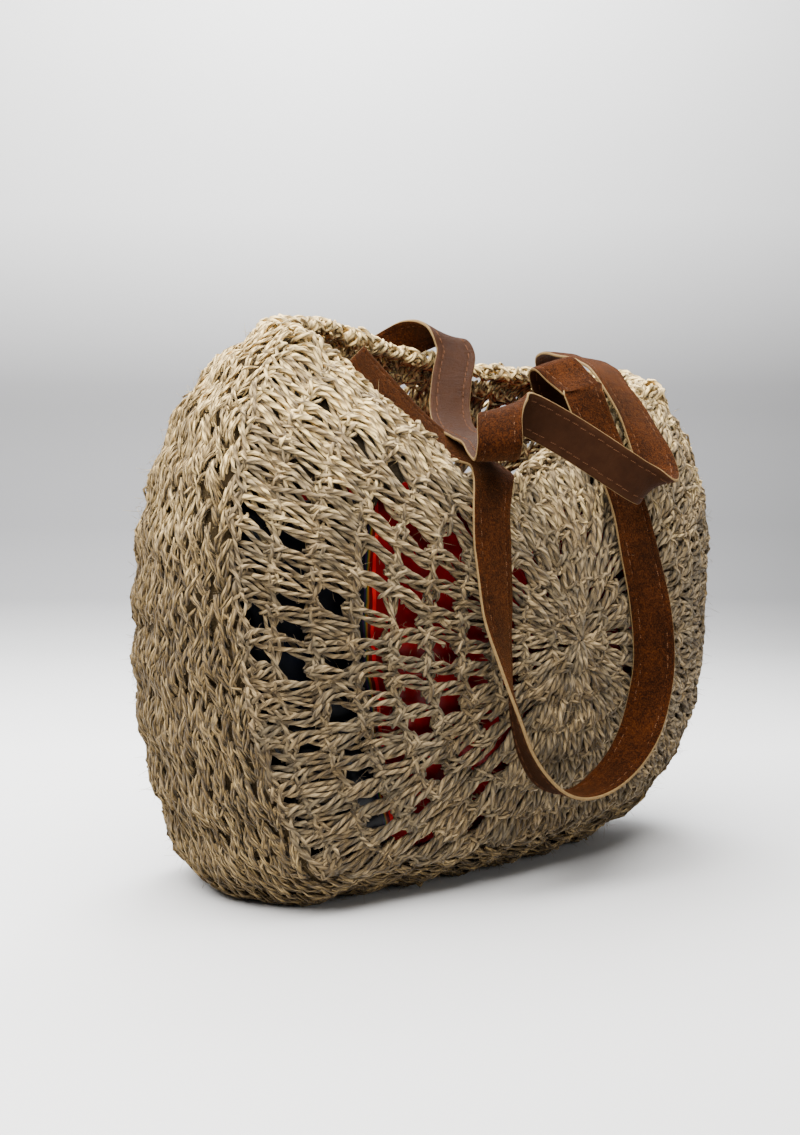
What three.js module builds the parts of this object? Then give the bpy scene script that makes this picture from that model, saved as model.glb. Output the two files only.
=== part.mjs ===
import * as THREE from 'three';

// Crocheted hemp shoulder bag with two leather straps. Millimetres, +Z up.
// +X runs along the bag towards its blunt end, the front panel faces -Y.
// The origin is the middle of the flat underside.

// Named sizes of the crocheted body.
const REACH = 200;
const EDGE_DEPTH = 80;
const FRONT_DOME = 100;
const BACK_DOME = 97;
const DOME_SHAPE = 2.6;
const SEAM_RISE = 21;
const GUSSET_BULGE = 20;
const YARN_DEPTH = 7;
const RIB_HEIGHT = 2.2;
const EDGING_RADIUS = 4.5;
const EDGING_GAP = 0.7;
const SEAM_GAP = 0.4;
const EDGING_SIDES = 6;

// How far a sheet that lies inset from the panel is drawn in: its outer edge,
// and the depth of that edge, for each millimetre of inset.
const INSET_REACH = 1.3;
const INSET_EDGE = 0.6;

// The gusset bulges by no more than this share of its width, and sags by this
// share of its bulge underneath.
const BULGE_LIMIT = 0.17;
const BULGE_SAG = 0.5;

// Ribs fade out where the gusset turns down: how fast, and from what slope.
const RIB_FADE = 2;

// Limits of a mitre: how much a turn may thicken a seam, and the edging.
const SEAM_MITRE = 0.7;
const EDGING_MITRE = 0.6;

// Where the ends of the mouth meet the gusset: share of its half width, and
// the step down the gusset, in degrees, that gives the way up.
const CORNER_ACROSS = 0.8;
const CORNER_STEP = 2;

// Named sizes of the lining.
const LINING_THICKNESS = 1;
const LINING_CLEARANCE = 6;
const LINING_DROP = 22;
const LINING_TOP = 232;
const LINING_LIFT = 0.4;
const LINING_BULGE = 18;
const LINING_CELLS = 5;
const LINING_FADE = 14;
const LINING_LEVEL_FROM = 0.05;
const LINING_RINGS = [0.3, 0.6, 0.82, 1];

// Named sizes of the straps.
const STRAP_WIDTH = 24;
const STRAP_THICKNESS = 2.4;
const STRAP_CLEARANCE = 0.2;
const STRAP_STEP = 10;
const STRAP_PAST_EDGE = 1.06;

// Ways of the two straps: places as shares of REACH along x and above the
// middle of the panels, of FRONT_DOME along y, and the direction of their width.
const FRONT_STRAP_PATH = [
  { x: -0.504, y: -0.18, z: 0.788, wx: 0.83, wy: 0.30, wz: 0.40, front: 0 },
  { x: -0.348, y: -0.34, z: 0.592, wx: 0.83, wy: 0.36, wz: 0.35, front: 0 },
  { x: -0.261, y: -0.40, z: 0.520, wx: 0.90, wy: 0.30, wz: 0.12, front: 0 },
  { x: -0.218, y: -0.68, z: 0.487, wx: 1.00, wy: 0.00, wz: -0.08, front: 0 },
  { x: -0.276, y: -0.90, z: 0.452, wx: 1.00, wy: 0.00, wz: -0.06, front: 1 },
  { x: -0.318, y: -1.00, z: 0.371, wx: 1.00, wy: 0.00, wz: 0.00, front: 1 },
  { x: -0.326, y: -1.04, z: 0.254, wx: 1.00, wy: 0.00, wz: 0.00, front: 1 },
  { x: -0.327, y: -1.08, z: 0.116, wx: 0.97, wy: 0.20, wz: 0.00, front: 1 },
  { x: -0.296, y: -1.12, z: -0.146, wx: 0.50, wy: 0.85, wz: 0.05, front: 1 },
  { x: -0.248, y: -1.14, z: -0.281, wx: 0.20, wy: 0.97, wz: 0.10, front: 1 },
  { x: -0.162, y: -1.14, z: -0.389, wx: 0.00, wy: 1.00, wz: 0.00, front: 1 },
  { x: -0.042, y: -1.13, z: -0.419, wx: -0.10, wy: 1.00, wz: 0.00, front: 1 },
  { x: 0.069, y: -1.13, z: -0.376, wx: -0.20, wy: 0.97, wz: 0.10, front: 1 },
  { x: 0.163, y: -1.13, z: -0.278, wx: -0.50, wy: 0.85, wz: 0.10, front: 1 },
  { x: 0.220, y: -1.10, z: -0.147, wx: -0.78, wy: 0.62, wz: 0.05, front: 1 },
  { x: 0.230, y: -1.09, z: -0.003, wx: -0.85, wy: 0.50, wz: 0.00, front: 1 },
  { x: 0.191, y: -1.04, z: 0.270, wx: -0.97, wy: 0.20, wz: 0.00, front: 1 },
  { x: 0.174, y: -0.98, z: 0.398, wx: -1.00, wy: 0.10, wz: 0.00, front: 1 },
  { x: 0.140, y: -0.82, z: 0.584, wx: -0.97, wy: 0.15, wz: -0.15, front: 1 },
  { x: 0.129, y: -0.71, z: 0.670, wx: -0.93, wy: 0.25, wz: -0.20, front: 1 },
  { x: 0.137, y: -0.54, z: 0.739, wx: -0.90, wy: 0.30, wz: -0.30, front: 0 },
  { x: 0.133, y: -0.42, z: 0.778, wx: -0.90, wy: 0.30, wz: -0.30, front: 0 },
  { x: 0.156, y: -0.31, z: 0.764, wx: -0.90, wy: 0.30, wz: -0.25, front: 0 },
  { x: 0.254, y: -0.22, z: 0.608, wx: -0.95, wy: 0.20, wz: 0.00, front: 0 }
];
const BACK_STRAP_PATH = [
  { x: -0.191, y: 0.77, z: 0.751, wx: 0.50, wy: -0.15, wz: -0.80, front: 0 },
  { x: -0.049, y: 0.73, z: 0.833, wx: 0.50, wy: -0.35, wz: -0.68, front: 0 },
  { x: -0.011, y: 0.63, z: 0.864, wx: 0.60, wy: -0.40, wz: -0.60, front: 0 },
  { x: 0.001, y: 0.45, z: 0.877, wx: 0.70, wy: -0.45, wz: -0.45, front: 0 },
  { x: -0.008, y: 0.26, z: 0.863, wx: 0.75, wy: -0.50, wz: -0.38, front: 0 },
  { x: -0.014, y: 0.15, z: 0.819, wx: 0.78, wy: -0.53, wz: -0.30, front: 0 },
  { x: -0.074, y: 0.02, z: 0.734, wx: 0.80, wy: -0.55, wz: -0.15, front: 0 },
  { x: -0.140, y: -0.14, z: 0.637, wx: 0.80, wy: -0.55, wz: -0.15, front: 0 },
  { x: -0.193, y: -0.35, z: 0.584, wx: 0.80, wy: -0.55, wz: -0.12, front: 0 },
  { x: -0.207, y: -0.52, z: 0.566, wx: 0.82, wy: -0.55, wz: -0.04, front: 0 },
  { x: -0.237, y: -0.70, z: 0.555, wx: 0.85, wy: -0.50, wz: 0.00, front: 0 },
  { x: -0.298, y: -0.93, z: 0.531, wx: 0.85, wy: -0.50, wz: 0.03, front: 0 },
  { x: -0.329, y: -1.07, z: 0.518, wx: 0.85, wy: -0.50, wz: 0.05, front: 0 },
  { x: -0.350, y: -1.15, z: 0.557, wx: 0.83, wy: -0.55, wz: 0.05, front: 0 },
  { x: -0.316, y: -1.06, z: 0.635, wx: 0.80, wy: -0.55, wz: 0.10, front: 0 },
  { x: -0.219, y: -0.91, z: 0.652, wx: 0.70, wy: -0.48, wz: 0.45, front: 0 },
  { x: -0.162, y: -0.90, z: 0.638, wx: 0.60, wy: -0.42, wz: 0.65, front: 0 },
  { x: -0.058, y: -0.96, z: 0.585, wx: 0.50, wy: -0.35, wz: 0.80, front: 1 },
  { x: 0.018, y: -1.04, z: 0.532, wx: 0.50, wy: -0.35, wz: 0.80, front: 1 },
  { x: 0.087, y: -1.12, z: 0.479, wx: 0.50, wy: -0.35, wz: 0.80, front: 1 },
  { x: 0.149, y: -1.15, z: 0.442, wx: 0.55, wy: -0.30, wz: 0.75, front: 1 },
  { x: 0.199, y: -1.14, z: 0.429, wx: 0.70, wy: -0.40, wz: 0.50, front: 1 },
  { x: 0.259, y: -1.06, z: 0.460, wx: 0.82, wy: -0.50, wz: 0.15, front: 1 },
  { x: 0.307, y: -0.80, z: 0.600, wx: 0.95, wy: -0.25, wz: -0.20, front: 1 },
  { x: 0.335, y: -0.46, z: 0.743, wx: 0.98, wy: 0.00, wz: -0.15, front: 0 },
  { x: 0.406, y: -0.16, z: 0.785, wx: 0.98, wy: 0.00, wz: -0.10, front: 0 },
  { x: 0.462, y: 0.18, z: 0.806, wx: 0.98, wy: 0.00, wz: -0.10, front: 0 },
  { x: 0.521, y: 0.48, z: 0.819, wx: 0.98, wy: 0.00, wz: -0.05, front: 0 },
  { x: 0.562, y: 0.62, z: 0.804, wx: 1.00, wy: 0.00, wz: 0.00, front: 0 },
  { x: 0.601, y: 0.70, z: 0.745, wx: 1.00, wy: 0.00, wz: 0.00, front: 0 },
  { x: 0.631, y: 0.74, z: 0.672, wx: 1.00, wy: 0.00, wz: 0.00, front: 0 }
];

// Where the mouth begins and ends, as bearings about the middle of a panel.
const MOUTH_RIGHT = 50;
const MOUTH_LEFT = 129;

// Columns of stitches, counted round a panel.
const MOUTH_COLUMNS = 16;
const GUSSET_COLUMNS = 56;
const GUSSET_CELLS = 8;
const ROUNDS = 8;

// The net is closed where the panel reaches less far than this.
const CLOSED_REACH = 120;

// Outline of the two panels round their middles. Bearing in degrees from +X,
// reaches as shares of REACH, depths of the edge as shares of EDGE_DEPTH. The
// front's swell is the reach at which its dome has fallen to the edge depth.
const OUTLINE = [
  { bearing: 0, front: 0.73, swell: 0.73, back: 0.74, frontEdge: 0.58, backEdge: 0.60 },
  { bearing: 25, front: 0.80, swell: 0.80, back: 0.80, frontEdge: 0.58, backEdge: 0.60 },
  { bearing: 50, front: 0.86, swell: 0.86, back: 0.92, frontEdge: 0.56, backEdge: 0.58 },
  { bearing: 62, front: 0.74, swell: 0.76, back: 0.83, frontEdge: 0.60, backEdge: 0.66 },
  { bearing: 78, front: 0.55, swell: 0.62, back: 0.77, frontEdge: 0.66, backEdge: 0.72 },
  { bearing: 94, front: 0.47, swell: 0.53, back: 0.79, frontEdge: 0.70, backEdge: 0.66 },
  { bearing: 108, front: 0.43, swell: 0.50, back: 0.87, frontEdge: 0.70, backEdge: 0.50 },
  { bearing: 119, front: 0.44, swell: 0.62, back: 1.00, frontEdge: 0.58, backEdge: 0.36 },
  { bearing: 126, front: 0.51, swell: 0.82, back: 1.07, frontEdge: 0.40, backEdge: 0.27 },
  { bearing: 127.4, front: 0.66, swell: 0.96, back: 1.08, frontEdge: 0.31, backEdge: 0.26 },
  { bearing: 129, front: 1.09, swell: 1.09, back: 1.09, frontEdge: 0.24, backEdge: 0.24 },
  { bearing: 140, front: 1.12, swell: 1.12, back: 1.10, frontEdge: 0.40, backEdge: 0.36 },
  { bearing: 160, front: 1.06, swell: 1.06, back: 1.03, frontEdge: 0.66, backEdge: 0.60 },
  { bearing: 180, front: 1.00, swell: 1.00, back: 0.97, frontEdge: 0.82, backEdge: 0.74 },
  { bearing: 200, front: 1.00, swell: 1.00, back: 0.98, frontEdge: 0.92, backEdge: 0.80 },
  { bearing: 213, front: 1.00, swell: 1.00, back: 1.00, frontEdge: 0.95, backEdge: 0.84 },
  { bearing: 228, front: 0.79, swell: 0.79, back: 0.77, frontEdge: 0.98, backEdge: 0.86 },
  { bearing: 248, front: 0.63, swell: 0.63, back: 0.62, frontEdge: 0.97, backEdge: 0.86 },
  { bearing: 270, front: 0.58, swell: 0.58, back: 0.58, frontEdge: 0.90, backEdge: 0.84 },
  { bearing: 292, front: 0.61, swell: 0.61, back: 0.61, frontEdge: 0.80, backEdge: 0.76 },
  { bearing: 315, front: 0.69, swell: 0.69, back: 0.69, frontEdge: 0.70, backEdge: 0.66 },
  { bearing: 338, front: 0.73, swell: 0.73, back: 0.74, frontEdge: 0.62, backEdge: 0.62 }
];

// Rings of a panel, counted in rounds from the middle. The inner rings have
// one column of stitches where the outer ones have two.
const INNER_RINGS = [1, 2.4, 3.75];
const OUTER_RINGS = [4.2, 4.75, 5.2, 5.75, 6.2, 6.75, 7.2, 7.75, 8];

// Gaps of the open rounds: which band of the outer rings, how many columns
// from one gap to the next, how many columns wide, and where the first is.
const GAPS = [
  { band: 0, pitch: 6, columns: 3, start: 1 },
  { band: 2, pitch: 6, columns: 3, start: 4 },
  { band: 4, pitch: 4, columns: 2, start: 1 },
  { band: 6, pitch: 4, columns: 2, start: 3 }
];

const vec = (x, y, z) => new THREE.Vector3(x, y, z);
const radians = (degrees) => degrees * Math.PI / 180;
const turn = (bearing) => ((bearing % 360) + 360) % 360;

// A smooth closed reading of one column of the outline, without overshoot.
function outlineValue(column, bearing) {
  const count = OUTLINE.length;
  const at = turn(bearing);
  let index = count - 1;
  while (OUTLINE[index].bearing > at) {
    index -= 1;
  }
  const span = (i) => turn(OUTLINE[(i + 1) % count].bearing - OUTLINE[i % count].bearing);
  const slope = (i) => {
    const here = OUTLINE[i % count][column];
    return (OUTLINE[(i + 1) % count][column] - here) / span(i);
  };
  const tangent = (i) => {
    const before = slope((i + count - 1) % count);
    const after = slope(i % count);
    return before * after <= 0 ? 0 : 2 * before * after / (before + after);
  };
  const width = span(index);
  const t = (at - OUTLINE[index].bearing) / width;
  const a = OUTLINE[index][column];
  const b = OUTLINE[(index + 1) % count][column];
  const ta = tangent(index) * width;
  const tb = tangent((index + 1) % count) * width;
  const t2 = t * t;
  const t3 = t2 * t;
  return (2 * t3 - 3 * t2 + 1) * a + (t3 - 2 * t2 + t) * ta
    + (3 * t2 - 2 * t3) * b + (t3 - t2) * tb;
}

const FRONT = { y: -1, reach: 'front', swell: 'swell', edge: 'frontEdge', dome: FRONT_DOME };
const BACK = { y: 1, reach: 'back', swell: 'back', edge: 'backEdge', dome: BACK_DOME };

const reachAt = (side, bearing) => REACH * outlineValue(side.reach, bearing);
const edgeAt = (side, bearing) => EDGE_DEPTH * outlineValue(side.edge, bearing);

// Height of the middle of the panels: the lowest point of a seam stands
// SEAM_RISE above the ground.
let deepest = 0;
for (let bearing = 180; bearing <= 360; bearing += 1) {
  for (const side of [FRONT, BACK]) {
    deepest = Math.max(deepest, -reachAt(side, bearing) * Math.sin(radians(bearing)));
  }
}
const MIDDLE_HEIGHT = SEAM_RISE + deepest;

// A point of a panel's middle surface, drawn in by an inset and a drop of its
// outer edge. share runs from 0 in the middle to 1 at the edge.
function panelPoint(side, share, bearing, inset = 0, drop = 0) {
  const reach = reachAt(side, bearing) - INSET_REACH * inset - drop;
  const edge = edgeAt(side, bearing) - INSET_EDGE * inset;
  const dome = side.dome - inset;
  const swell = REACH * outlineValue(side.swell, bearing) - INSET_REACH * inset;
  const along = share * reach;
  const depth = dome - (dome - edge) * Math.pow(along / swell, DOME_SHAPE);
  return vec(
    along * Math.cos(radians(bearing)),
    side.y * depth,
    MIDDLE_HEIGHT + along * Math.sin(radians(bearing))
  );
}

// Outward normal of a panel, and the direction that leaves it at its edge.
function panelFrame(side, share, bearing, inset = 0, drop = 0) {
  const low = Math.max(share - 0.01, 0.002);
  const away = panelPoint(side, low + 0.01, bearing, inset, drop)
    .sub(panelPoint(side, low, bearing, inset, drop)).normalize();
  const round = panelPoint(side, low + 0.01, bearing + 1, inset, drop)
    .sub(panelPoint(side, low + 0.01, bearing - 1, inset, drop)).normalize();
  const normal = away.clone().cross(round).normalize();
  if (normal.y * side.y < 0) {
    normal.negate();
  }
  away.copy(round).cross(normal).multiplyScalar(-side.y).normalize();
  return { away, normal };
}

// Bearings spaced evenly along the two edges between two bearings.
function spacedBearings(from, to, count) {
  const steps = 400;
  const lengths = [0];
  const edges = (bearing) => [FRONT, BACK].map((side) => panelPoint(side, 1, bearing));
  let last = edges(from);
  for (let i = 1; i <= steps; i += 1) {
    const next = edges(from + (to - from) * i / steps);
    const moved = next[0].distanceTo(last[0]) + next[1].distanceTo(last[1]);
    lengths.push(lengths[i - 1] + moved);
    last = next;
  }
  const list = [];
  let j = 0;
  for (let i = 0; i <= count; i += 1) {
    const want = lengths[steps] * i / count;
    while (j < steps - 1 && lengths[j + 1] < want) {
      j += 1;
    }
    const part = (want - lengths[j]) / (lengths[j + 1] - lengths[j]);
    list.push(from + (to - from) * (j + Math.min(1, part)) / steps);
  }
  return list;
}

const MOUTH = spacedBearings(MOUTH_RIGHT, MOUTH_LEFT, MOUTH_COLUMNS);
const SIDES = spacedBearings(MOUTH_LEFT, MOUTH_RIGHT + 360, GUSSET_COLUMNS);
const COLUMNS = MOUTH.slice(0, -1).concat(SIDES.slice(0, -1));

// Outward direction of the outline in the plane of the panels.
function outwardAt(side, bearing) {
  const low = Math.max(bearing - 4, MOUTH_LEFT);
  const high = Math.min(bearing + 4, MOUTH_RIGHT + 360);
  const along = panelPoint(side, 1, high).sub(panelPoint(side, 1, low));
  return vec(along.z, 0, -along.x).normalize();
}

// Outer surface of the gusset: across runs from -1 at the front seam to 1 at
// the back one. It bulges outwards and is flattened where it meets the ground.
function gussetPoint(bearing, across, floor, bulge, inset = 0, drop = 0) {
  const front = panelPoint(FRONT, 1, bearing, inset, drop);
  const back = panelPoint(BACK, 1, bearing, inset, drop);
  const out = outwardAt(FRONT, bearing).add(outwardAt(BACK, bearing)).normalize();
  const width = front.distanceTo(back);
  const swell = Math.min(bulge, BULGE_LIMIT * width)
    + Math.max(0, -out.z) * BULGE_SAG * bulge;
  const point = front.lerp(back, (across + 1) / 2);
  point.addScaledVector(out, swell * (1 - across * across));
  point.z = Math.max(point.z, floor);
  return point;
}

function gussetNormal(bearing, across, floor, bulge, inset = 0, drop = 0) {
  const low = Math.max(bearing - 3, MOUTH_LEFT);
  const high = Math.min(bearing + 3, MOUTH_RIGHT + 360);
  const left = Math.max(across - 0.1, -1);
  const right = Math.min(across + 0.1, 1);
  const along = gussetPoint(high, across, floor, bulge, inset, drop)
    .sub(gussetPoint(low, across, floor, bulge, inset, drop));
  const over = gussetPoint(bearing, right, floor, bulge, inset, drop)
    .sub(gussetPoint(bearing, left, floor, bulge, inset, drop));
  const normal = along.cross(over).normalize();
  if (normal.dot(outwardAt(FRONT, bearing)) < 0) {
    normal.negate();
  }
  return normal;
}

// A thick sheet from named points: each has an outer and an inner place. The
// open edges are closed with walls.
class Sheet {
  constructor() {
    this.outer = [];
    this.inner = [];
    this.faces = [];
  }

  point(outer, inner) {
    this.outer.push(outer);
    this.inner.push(inner);
    return this.outer.length - 1;
  }

  face(...corners) {
    this.faces.push(corners);
  }

  geometry() {
    const edges = new Map();
    const positions = [];
    const triangle = (a, b, c) => {
      for (const corner of [a, b, c]) {
        positions.push(corner.x, corner.y, corner.z);
      }
    };
    for (const face of this.faces) {
      for (let i = 0; i < face.length; i += 1) {
        const a = face[i];
        const b = face[(i + 1) % face.length];
        edges.set(`${a}_${b}`, [a, b]);
        if (i > 0 && i < face.length - 1) {
          triangle(this.outer[face[0]], this.outer[a], this.outer[b]);
          triangle(this.inner[face[0]], this.inner[b], this.inner[a]);
        }
      }
    }
    for (const [a, b] of edges.values()) {
      if (!edges.has(`${b}_${a}`)) {
        triangle(this.outer[b], this.outer[a], this.inner[a]);
        triangle(this.outer[b], this.inner[a], this.inner[b]);
      }
    }
    const geometry = new THREE.BufferGeometry();
    geometry.setAttribute('position', new THREE.Float32BufferAttribute(positions, 3));
    geometry.computeVertexNormals();
    return geometry;
  }
}

// Mitre of the seam between a panel and the gusset at one bearing.
function seamFrame(side, bearing) {
  const at = bearing < MOUTH_LEFT ? bearing + 360 : bearing;
  const panel = panelFrame(side, 1, at);
  const middle = panelPoint(side, 1, at);
  const near = gussetPoint(at, side.y, 0, GUSSET_BULGE);
  const next = gussetPoint(at, side.y * CORNER_ACROSS, 0, GUSSET_BULGE);
  const leave = next.sub(near).normalize();
  const normal = gussetNormal(at, side.y, 0, GUSSET_BULGE);
  const mitre = panel.normal.clone().add(normal).normalize();
  const across = panel.away.clone().add(leave).normalize();
  const half = YARN_DEPTH / 2 / Math.max(SEAM_MITRE, mitre.dot(panel.normal));
  return { middle, mitre, across, half };
}

function buildPanel(side) {
  const sheet = new Sheet();
  const total = COLUMNS.length;
  const flip = side.y > 0;
  const add = (...corners) => sheet.face(...(flip ? corners.reverse() : corners));
  const place = (share, bearing) => {
    const middle = panelPoint(side, share, bearing);
    const { normal } = panelFrame(side, share, bearing);
    return sheet.point(
      middle.clone().addScaledVector(normal, YARN_DEPTH / 2),
      middle.clone().addScaledVector(normal, -YARN_DEPTH / 2)
    );
  };
  const edge = (bearing, index) => {
    if (index > 0 && index < MOUTH_COLUMNS) {
      return place(1, bearing);
    }
    const seam = seamFrame(side, bearing);
    const start = seam.middle.clone().addScaledVector(seam.across, -SEAM_GAP / 2);
    return sheet.point(
      start.clone().addScaledVector(seam.mitre, seam.half),
      start.clone().addScaledVector(seam.mitre, -seam.half)
    );
  };
  const hub = sheet.point(
    vec(0, side.y * (side.dome + YARN_DEPTH / 2), MIDDLE_HEIGHT),
    vec(0, side.y * (side.dome - YARN_DEPTH / 2), MIDDLE_HEIGHT)
  );
  const half = COLUMNS.filter((bearing, index) => index % 2 === 0);
  const inner = INNER_RINGS.map((ring) => half.map((b) => place(ring / ROUNDS, b)));
  const outer = OUTER_RINGS.map((ring) => COLUMNS.map(
    (b, i) => (ring === ROUNDS ? edge(b, i) : place(ring / ROUNDS, b))
  ));
  const few = half.length;
  for (let i = 0; i < few; i += 1) {
    const n = (i + 1) % few;
    add(hub, inner[0][i], inner[0][n]);
    for (let r = 0; r + 1 < inner.length; r += 1) {
      add(inner[r][i], inner[r + 1][i], inner[r + 1][n], inner[r][n]);
    }
    const last = inner[inner.length - 1];
    const a = 2 * i;
    const b = 2 * i + 1;
    const c = (2 * i + 2) % total;
    add(last[i], outer[0][a], outer[0][b]);
    add(last[i], outer[0][b], last[n]);
    add(last[n], outer[0][b], outer[0][c]);
  }
  for (let r = 0; r + 1 < outer.length; r += 1) {
    const open = GAPS.find((gap) => gap.band === r);
    for (let i = 0; i < total; i += 1) {
      const n = (i + 1) % total;
      if (open && (i + total - open.start) % open.pitch < open.columns) {
        const first = i - (i + total - open.start) % open.pitch;
        const middle = COLUMNS[(first + Math.floor(open.columns / 2) + total) % total];
        if (reachAt(side, middle) > CLOSED_REACH) {
          continue;
        }
      }
      add(outer[r][i], outer[r + 1][i], outer[r + 1][n], outer[r][n]);
    }
  }
  return sheet.geometry();
}

// How far a rib of the gusset stands out at one station: nothing underneath.
function ribAt(index, normal) {
  const lift = index % 2 === 0 ? 1 : 0;
  return lift * RIB_HEIGHT * Math.max(0, Math.min(1, 1 + RIB_FADE * normal.z));
}

function buildGusset() {
  const sheet = new Sheet();
  const grid = SIDES.map((bearing, index) => {
    const row = [];
    for (let k = 0; k <= GUSSET_CELLS; k += 1) {
      const across = 2 * k / GUSSET_CELLS - 1;
      if (k === 0 || k === GUSSET_CELLS) {
        const seam = seamFrame(k === 0 ? FRONT : BACK, bearing);
        const start = seam.middle.clone().addScaledVector(seam.across, SEAM_GAP / 2);
        row.push(sheet.point(
          start.clone().addScaledVector(seam.mitre, seam.half),
          start.clone().addScaledVector(seam.mitre, -seam.half)
        ));
      } else {
        const outer = gussetPoint(bearing, across, 0, GUSSET_BULGE);
        const normal = gussetNormal(bearing, across, 0, GUSSET_BULGE);
        const inner = outer.clone().addScaledVector(normal, -YARN_DEPTH);
        inner.z = Math.max(inner.z, YARN_DEPTH);
        outer.addScaledVector(normal, ribAt(index, normal));
        outer.z = Math.max(outer.z, 0);
        row.push(sheet.point(outer, inner));
      }
    }
    return row;
  });
  for (let i = 0; i + 1 < grid.length; i += 1) {
    for (let k = 0; k < GUSSET_CELLS; k += 1) {
      sheet.face(grid[i][k], grid[i][k + 1], grid[i + 1][k + 1], grid[i + 1][k]);
    }
  }
  return sheet.geometry();
}

// The middle line of the mouth's rim, and the direction that leaves the rim.
function mouthRim() {
  const rim = [];
  const end = (bearing, step, across) => {
    const top = gussetPoint(bearing, across, 0, GUSSET_BULGE);
    const below = gussetPoint(bearing + step, across, 0, GUSSET_BULGE);
    const away = top.clone().sub(below).normalize();
    const normal = gussetNormal(bearing, across, 0, GUSSET_BULGE);
    return { middle: top.addScaledVector(normal, -YARN_DEPTH / 2), away };
  };
  const last = MOUTH_COLUMNS;
  const sidePoint = (side, i) => {
    const middle = panelPoint(side, 1, MOUTH[i]);
    const { away } = panelFrame(side, 1, MOUTH[i]);
    if (i === 0) {
      away.add(end(MOUTH[0] + 360, -CORNER_STEP, side.y * CORNER_ACROSS).away);
    }
    if (i === last) {
      away.add(end(MOUTH[last], CORNER_STEP, side.y * CORNER_ACROSS).away);
    }
    return { middle, away: away.normalize() };
  };
  for (let i = 0; i <= last; i += 1) {
    rim.push(sidePoint(FRONT, i));
  }
  for (let k = 1; k < GUSSET_CELLS; k += 1) {
    rim.push(end(MOUTH[last], CORNER_STEP, 2 * k / GUSSET_CELLS - 1));
  }
  for (let i = last; i >= 0; i -= 1) {
    rim.push(sidePoint(BACK, i));
  }
  for (let k = GUSSET_CELLS - 1; k > 0; k -= 1) {
    rim.push(end(MOUTH[0] + 360, -CORNER_STEP, 2 * k / GUSSET_CELLS - 1));
  }
  return rim;
}

// A closed round cord that rides on the rim of the mouth, with mitred turns.
function buildEdging() {
  const rim = mouthRim();
  const count = rim.length;
  const rings = rim.map(({ middle, away }, i) => {
    const before = middle.clone().sub(rim[(i + count - 1) % count].middle).normalize();
    const after = rim[(i + 1) % count].middle.clone().sub(middle).normalize();
    const along = before.clone().add(after).normalize();
    const stretch = 1 / Math.max(EDGING_MITRE, along.dot(after));
    const up = away.clone().addScaledVector(along, -away.dot(along)).normalize();
    const side = along.clone().cross(up).normalize();
    const ring = [];
    for (let k = 0; k < EDGING_SIDES; k += 1) {
      const angle = 2 * Math.PI * (k + 0.5) / EDGING_SIDES;
      const height = EDGING_GAP + EDGING_RADIUS * (1 + Math.cos(angle));
      ring.push(middle.clone()
        .addScaledVector(up, height * stretch)
        .addScaledVector(side, EDGING_RADIUS * Math.sin(angle)));
    }
    return ring;
  });
  const positions = [];
  const triangle = (...corners) => corners.forEach((c) => positions.push(c.x, c.y, c.z));
  for (let i = 0; i < count; i += 1) {
    const here = rings[i];
    const next = rings[(i + 1) % count];
    for (let k = 0; k < EDGING_SIDES; k += 1) {
      const m = (k + 1) % EDGING_SIDES;
      triangle(here[k], next[m], next[k]);
      triangle(here[k], here[m], next[m]);
    }
  }
  const geometry = new THREE.BufferGeometry();
  geometry.setAttribute('position', new THREE.Float32BufferAttribute(positions, 3));
  geometry.computeVertexNormals();
  return geometry;
}

// Depth of the front panel's middle surface at a place in front of it.
function frontDepth(x, z) {
  const bearing = Math.atan2(z - MIDDLE_HEIGHT, x) * 180 / Math.PI;
  const share = Math.hypot(x, z - MIDDLE_HEIGHT) / reachAt(FRONT, bearing);
  return panelPoint(FRONT, Math.min(share, STRAP_PAST_EDGE), bearing).y;
}

// A flat strap along a way. In front of the panel it lies clear of it.
function buildStrap(path) {
  const places = path.map((row) => vec(
    REACH * row.x,
    FRONT_DOME * row.y,
    MIDDLE_HEIGHT + REACH * row.z
  ));
  const widths = path.map((row) => vec(row.wx, row.wy, row.wz));
  const line = new THREE.CatmullRomCurve3(places, false, 'centripetal');
  const turns = new THREE.CatmullRomCurve3(widths, false, 'centripetal');
  const count = Math.round(line.getLength() / STRAP_STEP);
  const stations = [];
  for (let i = 0; i <= count; i += 1) {
    const t = line.getUtoTmapping(i / count);
    const row = path[Math.round(t * (path.length - 1))];
    stations.push({
      place: line.getPoint(t),
      width: turns.getPoint(t).normalize(),
      front: row.front === 1
    });
  }
  const clear = YARN_DEPTH / 2 + STRAP_THICKNESS / 2 + STRAP_CLEARANCE;
  for (const { place, width } of stations.filter((station) => station.front)) {
    const push = [-0.5, 0, 0.5].map((reach) => {
      const spot = place.clone().addScaledVector(width, reach * STRAP_WIDTH);
      return spot.y - (frontDepth(spot.x, spot.z) - clear);
    });
    place.y -= Math.max(0, ...push);
  }
  const sheet = new Sheet();
  const rows = stations.map(({ place, width }, i) => {
    const before = stations[Math.max(i - 1, 0)].place;
    const after = stations[Math.min(i + 1, count)].place;
    const along = after.clone().sub(before).normalize();
    const over = width.clone().addScaledVector(along, -width.dot(along)).normalize();
    const normal = along.clone().cross(over).normalize();
    return [-0.5, 0.5].map((reach) => {
      const spot = place.clone().addScaledVector(over, reach * STRAP_WIDTH);
      return sheet.point(
        spot.clone().addScaledVector(normal, STRAP_THICKNESS / 2),
        spot.clone().addScaledVector(normal, -STRAP_THICKNESS / 2)
      );
    });
  });
  for (let i = 0; i < count; i += 1) {
    sheet.face(rows[i][0], rows[i + 1][0], rows[i + 1][1], rows[i][1]);
  }
  return sheet.geometry();
}

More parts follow.
